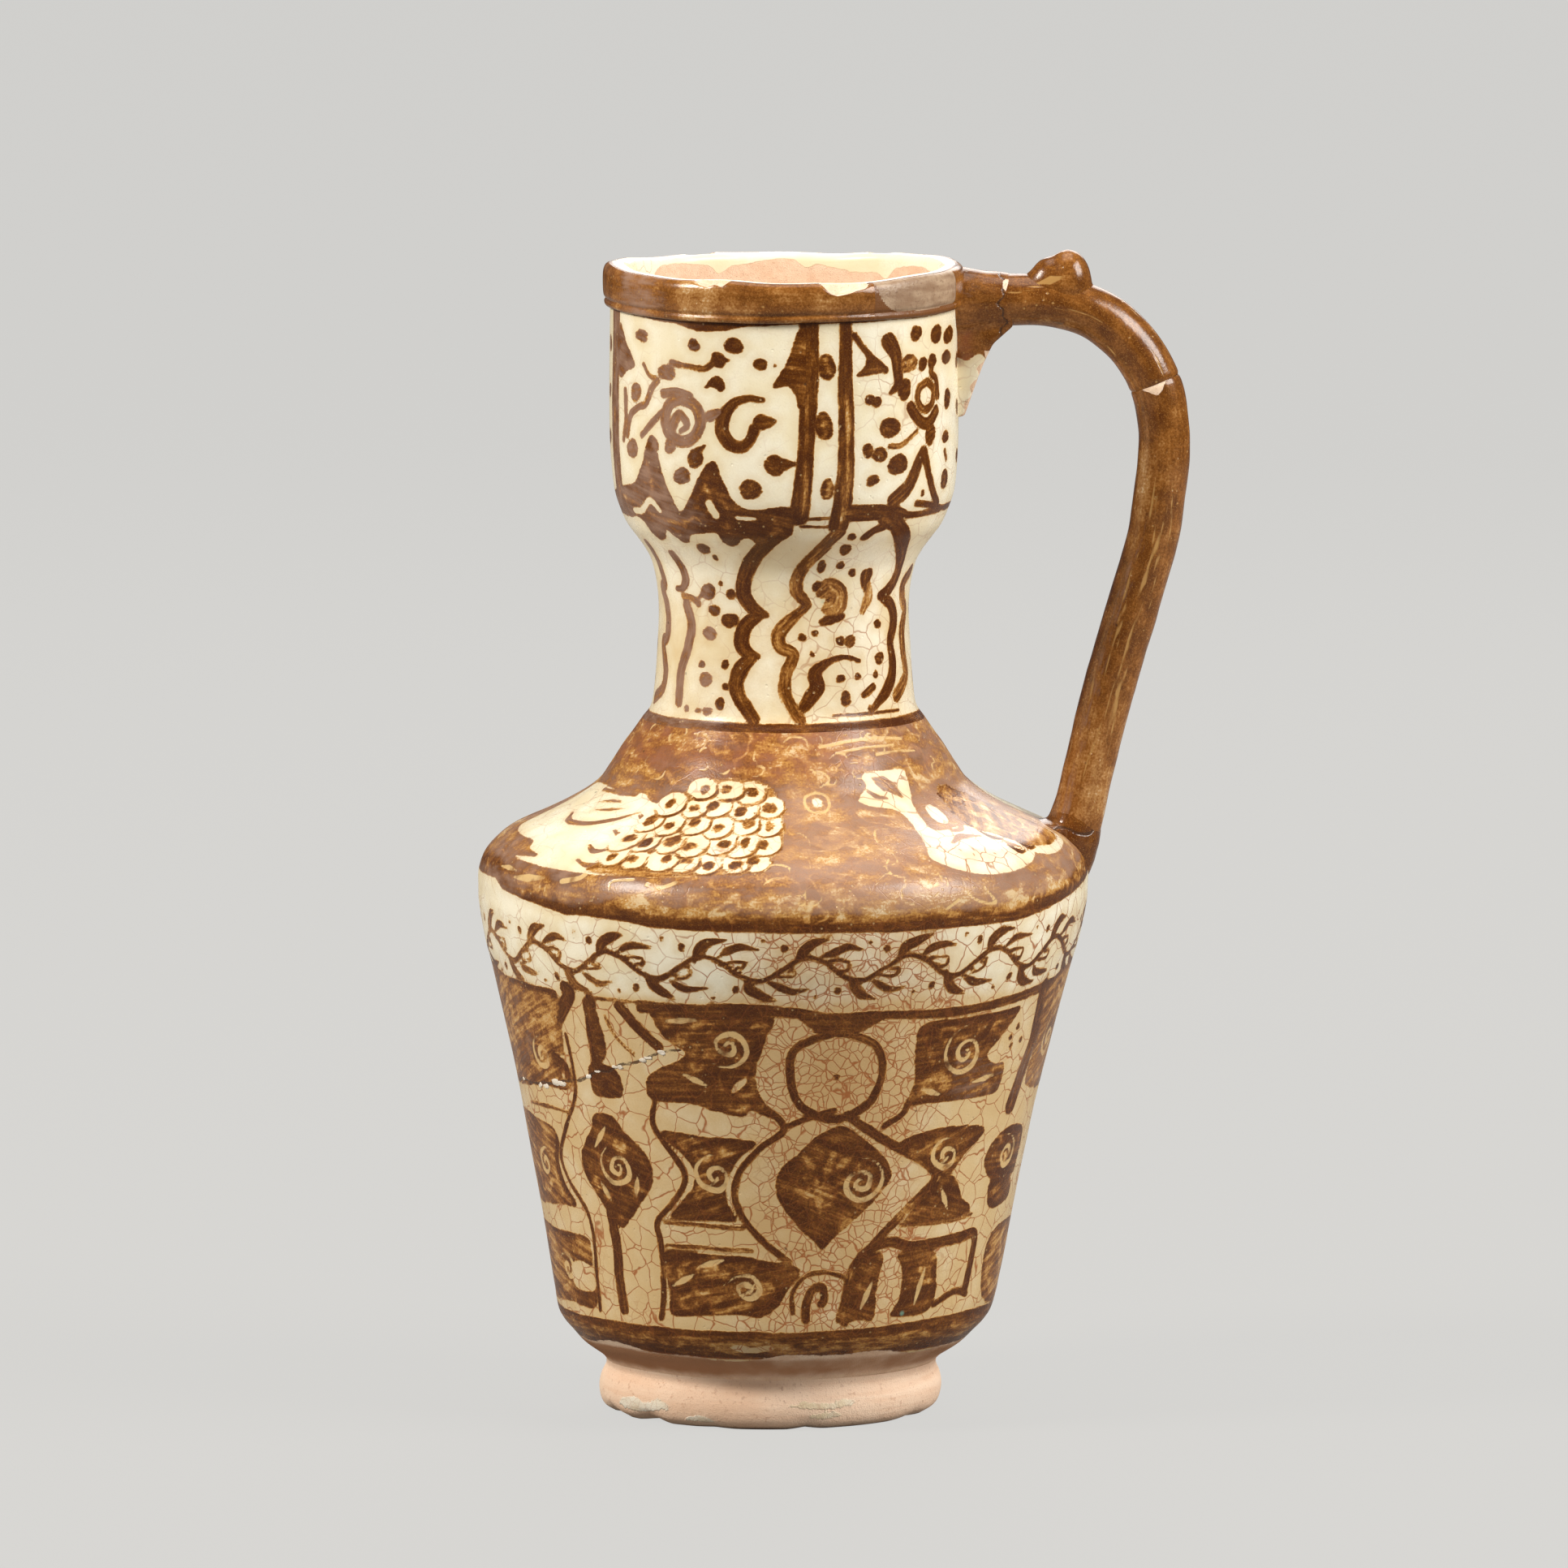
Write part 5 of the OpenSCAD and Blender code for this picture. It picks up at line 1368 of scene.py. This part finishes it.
sheet.decorate(collarArt)
sheet.decorate(neckArt)
# painted reflection: a pale lavender tint over the brown on the left side
sheet.deepen("sheen", neckLook["sheen"] * rise(*neckLook["paintedSheenAngles"], sheet.side))
cut = settle(collar.data, sheet)
turn = np.radians(sheet.angle)
drip = 2.4 + 0.8 * np.sin(3 * turn + 0.6) + 0.9 * np.sin(7 * turn + 2)
drip = drip + 1.6 * np.maximum(np.sin(11 * turn), 0) ** 6
bare = np.where(sheet.outside, none, lipTop - drip - sheet.z)
bare = np.where(cut > collarLook["chipSeen"], np.maximum(bare, cut), bare)
sheet.dressMesh(collar.data, bare=bare, crackle=0.1 + 0.1 * rise(0, 30, sheet.side))
finishPiece(collar, "collar")

# the band round the lip with a worn stretch, and its rebuilt stretch
rimBand = {
    "outline": [(35.72, 227.95), (36.6, 228.1), (36.9, 228.9), (36.55, 229.5), (37.0, 230.2), (37.15, 232),
                (37.1, 234.3), (36.7, 235.6), (36.1, 236.15), (35.72, 236.25)],
    "back": [(35.72, 233), (35.72, 230)], "step": 0.3, "steps": 420, "sharp": 60,
    "wornSeed": 11, "wornMarks": 26, "wornAngles": (-38, -25), "wornHeights": (229.8, 235.5),
    "patchFrom": -60, "patchSweep": 40, "patchSteps": 66,
    "patchLap": 1, "patchSink": 0.05,  # the patch runs on a little under both ends of the band
    "patchPaint": [(28, 236), (30.5, 235.6), (32, 232.8), (35, 230.6), (40, 229.6), (56, 229.4), (72, 229.4),
                   (72, 226), (28, 226)],
}
bandLine = evenly(splinePath(rimBand["outline"], 8), rimBand["step"])
patchFrom, patchSweep, lap = rimBand["patchFrom"], rimBand["patchSweep"], rimBand["patchLap"]
rim, sheet = lathe("rimBand", bandLine, rimBand["back"], rimBand["steps"], brownLustre,
                   (patchFrom + patchSweep, 360 - patchSweep))
sheet.paint[:], sheet.outside[:] = whole, True
worn = random.Random(rimBand["wornSeed"])
for k in range(rimBand["wornMarks"]):
    at, height = worn.uniform(*rimBand["wornAngles"]), worn.uniform(*rimBand["wornHeights"])
    sheet.stroke("scratch", worn.uniform(0.12, 0.4), [
        (at, height), (at + worn.uniform(3, 9), height + worn.uniform(-0.3, 0.3))])
# painted reflection: a pale lavender tint on the band's left
sheet.sheen = 0.8 * swell(-76, -58, -54, -28, sheet.side)
sheet.tone = 0.15 + 0.5 * swell(-40, -34, -26, -20, sheet.side)
cut = settle(rim.data, sheet)
sheet.dressMesh(rim.data, bare=np.where(cut > collarLook["chipSeen"], cut, none))
finishPiece(rim, "rim_band", rimBand["sharp"])
patch, sheet = lathe("rimPatch", bandLine - (rimBand["patchSink"], 0), rimBand["back"], rimBand["patchSteps"],
                     repairFill, (patchFrom - lap, patchSweep + 2 * lap))
sheet.outside[:] = True
sheet.fill("paint", rimBand["patchPaint"])
settle(patch.data, sheet)
keepField(patch.data, "paint", sheet.paint)
finishPiece(patch, "rim_patch", rimBand["sharp"])
print("thrown sections made")

# the handle: one path in the xz plane, split at the mended break
handle = {
    "line": [(34.2, 229.1), (40, 229), (46, 229.1), (53, 229), (59.5, 227.7), (65.5, 224.9), (70.8, 220.5),
             (74.6, 215.1), (76.9, 209), (77.9, 202.5), (77.8, 196), (77.2, 190), (75.8, 180.5),
             (72.9, 170.4), (69.8, 160), (67, 150), (64.4, 140), (62, 130), (60.2, 122.5), (59.2, 118),
             (58.6, 115.2)],
    "step": 0.5, "break": (75.9, 211.9), "girth": 5.35, "shaftShare": 0.985, "endShares": (0.95, 0.99),
    "roundSteps": 72, "wobble": 0.9, "wobbleScale": 60, "seed": (0.7, 0.2, 0.4), "streakSeed": 5,
    # streaks by count, and the ranges of their start, length, angle round the bar and half width
    "archStreaks": (14, (10, 48), (3, 9), (20, 170), (0.1, 0.25)),
    "shaftStreaks": (20, (14, 70), (6, 22), (60, 150), (0.12, 0.3)),
}
handleLine = evenly(splinePath(handle["line"], 12), handle["step"])
breakAt = int(np.argmin(np.linalg.norm(handleLine - handle["break"], axis=1)))
archLine, shaftLine = handleLine[:breakAt + 1], handleLine[breakAt:]


def bar(name, line, girths, look, material):
    path = pathObject(name + "Path", [(x, 0, z) for x, z in line], False, girths)
    piece = growMesh(name, clayTree, {"Path": path, "Round Steps": look["roundSteps"], "Radius": mm,
                                      **wobbleValues(look, material)})
    dropPath(path)
    return piece


# how far along a bar each spot lies, its angle round the bar and its place across it
def barPlaces(spots, line):
    flat = spots[:, [0, 2]]
    best, far = np.zeros(len(spots), int), np.full(len(spots), 1e9)
    for k, point in enumerate(line):
        away = np.hypot(*(flat - point).T)
        nearer = away < far
        best[nearer], far[nearer] = k, away[nearer]
    ahead = np.gradient(line, axis=0)
    ahead /= np.linalg.norm(ahead, axis=1)[:, None]
    outward = np.stack([-ahead[:, 1], ahead[:, 0]], 1)  # left of the run
    across = np.einsum("ij,ij->i", flat - line[best], outward[best])
    return runOf(line)[best], np.degrees(np.arctan2(-spots[:, 1], across)), across


def dressBar(mesh, line, streaks):
    spots = spotsOf(mesh)
    far, turn, across = barPlaces(spots, line)
    scratch = np.full(len(spots), float(none))
    count, *ranges = streaks
    for k in range(count):
        start, length, at, width = (luck.uniform(*ends) for ends in ranges)
        gapAlong = np.maximum(np.maximum(start - far, far - start - length), 0)
        bend = at + 10 * np.sin(far * 0.13 + at)
        gapRound = np.radians(np.abs(turnedFrom(bend, turn))) * handle["girth"]
        taper = np.sin(np.pi * np.clip((far - start) / length, 0, 1))
        scratch = np.maximum(scratch, width * taper - np.hypot(gapRound, gapAlong))
    dress(mesh, np.stack([far * brushwork["run"], across, spots[:, 1]], 1), scratch=scratch)
    return far, turn


luck = random.Random(handle["streakSeed"])
girths = np.full(len(archLine), handle["girth"])
girths[:-3:-1] *= handle["endShares"]
arch = bar("handleArch", archLine, girths, handle, brownLustre)
far, turn = dressBar(arch.data, archLine, handle["archStreaks"])
keepField(arch.data, "tone", 0.35 * rise(100, 150, np.abs(turn)))
finishPiece(arch, "handle_arch")
girths = np.full(len(shaftLine), handle["girth"] * handle["shaftShare"])
girths[:2] *= handle["endShares"]
shaft = bar("handleShaft", shaftLine, girths, handle, brownLustre)
far, turn = dressBar(shaft.data, shaftLine, handle["shaftStreaks"])
# painted highlight: a pale lavender line along one side of the shaft
keepField(shaft.data, "sheen", 0.6 * np.exp(-((turn - 125) / 18) ** 2) * rise(18, 40, far))
keepField(shaft.data, "tone", 0.7 * np.exp(-((turn - 140) / 26) ** 2) * swell(8, 16, 24, 40, far)
          + 0.4 * rise(52, 78, far))
chipped = 2.3 - far - np.abs(np.radians(turn - 92) * handle["girth"]) * 0.75
keepField(shaft.data, "bare", np.clip(chipped, none, 2))
finishPiece(shaft, "handle_shaft")

# luting clay and the knob are soft lumps: rough solids run together by a fine remesh
lumps = {"voxel": 0.42, "factor": 0.5, "rounds": 10, "knobRounds": 40, "ballSplits": 4,
         "loose": {**handle, "wobble": 1.6, "wobbleScale": 110}, "looseStep": 0.8}


def meshFrom(form, name):
    mesh = bpy.data.meshes.new(name)
    form.to_mesh(mesh)
    form.free()
    return mesh


def lumpMesh(name, solids, rounds=lumps["rounds"]):
    form = bmesh.new()
    for solid in solids:
        form.from_mesh(solid)
    lump = addObject(name, meshFrom(form, name + "Rough"))
    remesh = lump.modifiers.new("join", "REMESH")
    remesh.mode, remesh.voxel_size = "VOXEL", lumps["voxel"] * mm
    soften = lump.modifiers.new("soften", "SMOOTH")
    soften.factor, soften.iterations = lumps["factor"], rounds
    mesh = bakeShape(lump)
    mesh.materials.clear()
    mesh.materials.append(brownLustre)
    return lump, spotsOf(mesh)


# a plate upright in the xz plane, with a half width at each corner
def slab(corners):
    form = bmesh.new()
    left, right = ([form.verts.new((x * mm, s * w * mm, z * mm)) for x, z, w in corners] for s in (-1, 1))
    form.faces.new(left)
    form.faces.new(right[::-1])
    for k in range(len(corners)):
        n = (k + 1) % len(corners)
        form.faces.new((left[n], left[k], right[k], right[n]))
    bmesh.ops.recalc_face_normals(form, faces=form.faces)
    return meshFrom(form, "slab")


def ball(centre, radii):
    form = bmesh.new()
    bmesh.ops.create_icosphere(form, subdivisions=lumps["ballSplits"], radius=1)
    for v in form.verts:
        v.co = [(c + v.co[k] * r) * mm for k, (c, r) in enumerate(zip(centre, radii))]
    return meshFrom(form, "ball")


def looseBar(name, line, girths):
    path = splinePath(line, 10)
    dense = evenly(np.column_stack([path, spreadOver(girths, len(path))]), lumps["looseStep"])
    piece = bar(name, dense[:, :2], dense[:, 2], lumps["loose"], brownLustre)
    mesh = piece.data
    bpy.data.objects.remove(piece)
    return mesh


# upper lute: a sleeve round the arm and a web under it, raw at the web's edge
sleeve = looseBar("sleeve", [(33.9, 228.9), (37, 228.9), (40, 229), (43.5, 229), (46.5, 229)],
                  (7.3, 7.0, 6.4, 5.9, 5.5))
web = slab([(34, 204.6, 1.8), (37, 205.2, 2), (38, 208.2, 2.6), (39.2, 211.7, 3.2), (40.8, 216, 3.6),
            (42.8, 220.2, 3.9), (47, 223.9, 3.6), (47, 228, 3.6), (34, 228, 4)])
upperLute, spots = lumpMesh("upperLute", [sleeve, web])
x, y, z = spots.T
seam = 0.25 - np.abs(x - 44.7 - 0.6 * np.sin(z * 0.9) - 0.4 * np.sin(z * 2.3))
brownEnd = 217.5 + 1.2 * np.sin(y * 0.9) + 0.6 * np.sin(x * 1.3)
webEdge = np.interp(z, (204, 208, 212, 216, 220), (36, 38, 39.2, 40.8, 42.8))
rawEdge = 0.6 - webEdge + x + 0.5 * np.sin(z * 1.7)
crumb = 1 - np.hypot((x - 45.6) / 0.8, (z - 232 - 0.6 * np.sin(y)) / 1.6)
# painted reflection: a pale lavender tint towards the collar end of the sleeve
dress(upperLute.data, spots * (brushwork["run"], 1, 1), paint=z - brownEnd, seam=seam, crackle=0.3, warm=0.4,
      sheen=0.35 * rise(43.5, 38, x), bare=np.maximum(crumb, np.where(z < 219, rawEdge, none)),
      rust=0.1 + 0.5 * rise(41, 37, x) * rise(226, 222, z))
finishPiece(upperLute, "upper_lute")

# lower lute: the shaft's root and a skirt on the shoulder
root = looseBar("root", [(61.4, 126.6), (60.3, 122.5), (59.1, 118), (57.5, 111)], (5.1, 5.3, 6.0, 5.3))
lowerLute, spots = lumpMesh("lowerLute", [root, ball((54.8, 0, 120.1), (6.2, 6.4, 1.9))])
x, y, z = spots.T
seam = 0.3 - np.abs(z - 119.8 - 0.7 * np.sin(x * 0.8) - 0.4 * np.sin(y * 1.9))
# painted reflection: a pale lavender tint on the lower, inner part of the lute; the brown turns darker
# towards the bottom
dress(lowerLute.data, spots * (1, 1, 0.2), sheen=0.5 * rise(122, 119, z) * rise(60, 56, x),
      tone=-0.35 * rise(124, 119, z), seam=seam, crackle=0.3, rust=0.2)
finishPiece(lowerLute, "lower_lute")

# the knob: three balls on a saddle, with a pale worn line in front
saddle = looseBar("saddle", [(50, 229.1), (53, 229), (59.5, 227.7), (65.5, 224.9)], (4.9, 5.1, 5.1, 4.9))
knob, spots = lumpMesh("thumbKnob", [
    saddle, ball((58.2, 0, 232.4), (4.9, 5, 7.1)), ball((54.9, 0, 231.9), (5, 4.5, 6.2)),
    ball((52.4, 0, 231), (4.4, 4.2, 4.5))], lumps["knobRounds"])
x, y, z = spots.T
pale = 0.9 - np.abs(z - 233.3 - 0.25 * (x - 54)) - 0.25 * np.abs(x - 54.5)
dress(knob.data, spots * (0.2, 1, 1), scratch=np.where(y < 0, np.clip(pale, none, 0.2), none))
finishPiece(knob, "thumb_knob")
print("handle and luting clay made")


def flakeTree():
    tree, b, into = newTree("plasterFlakes", [("Places", "Object")])
    places = b.add("GeometryNodeObjectInfo", {}, {"Object": into["Places"]}, "Geometry")
    points = b.add("GeometryNodeMeshToPoints", {}, {"Mesh": places})
    facing, spread = (b.add("GeometryNodeInputNamedAttribute", {"data_type": "FLOAT_VECTOR"}, {"Name": name})
                      for name in ("facing", "spread"))
    turned = b.add("FunctionNodeAlignRotationToVector", {"axis": "Z"}, {"Vector": facing})
    turned = b.add("FunctionNodeAlignRotationToVector", {"axis": "Y", "pivot_axis": "Z"}, {
        "Rotation": turned, "Vector": (0, 0, 1)})
    grain = b.add("GeometryNodeMeshIcoSphere", {}, {"Radius": 1.0, "Subdivisions": 3})
    laid = b.add("GeometryNodeInstanceOnPoints", {}, {
        "Points": points, "Instance": grain, "Rotation": turned, "Scale": spread})
    closeTree(b, into, b.add("GeometryNodeRealizeInstances", {}, {"Geometry": laid}))
    return tree


placeMesh = bpy.data.meshes.new("flakePlaces")
flakeSpots = [wallReal[np.linalg.norm(wallIdeal - onJug(a, z), axis=1).argmin()]
              for a, z, wide, tall in flakes["spots"]]
placeMesh.from_pydata([tuple(p * mm) for p in flakeSpots], [], [])
for name in ("facing", "spread"):
    placeMesh.attributes.new(name, "FLOAT_VECTOR", "POINT")
facing, spread = (placeMesh.attributes[name].data for name in ("facing", "spread"))
for k, (a, z, wide, tall) in enumerate(flakes["spots"]):
    facing[k].vector = (math.sin(math.radians(a)), -math.cos(math.radians(a)), flakes["tilt"])
    spread[k].vector = (wide * mm, tall * mm, flakes["depth"] * mm)
places = addObject("flakePlaces", placeMesh)
plaster = growMesh("plasterFlakes", flakeTree(), {"Places": places, **wobbleValues(flakes, whitePlaster)})
bpy.data.objects.remove(places)
keepField(plaster.data, "paint", none)
finishPiece(plaster, "plaster_plugs", flakes["sharp"])

for node in ("base_disc", "dip_tube", "tube_seat"):
    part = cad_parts[node]
    part.data.materials.clear()
    part.data.materials.append(bareClay)
print("repairs and inside pieces made")
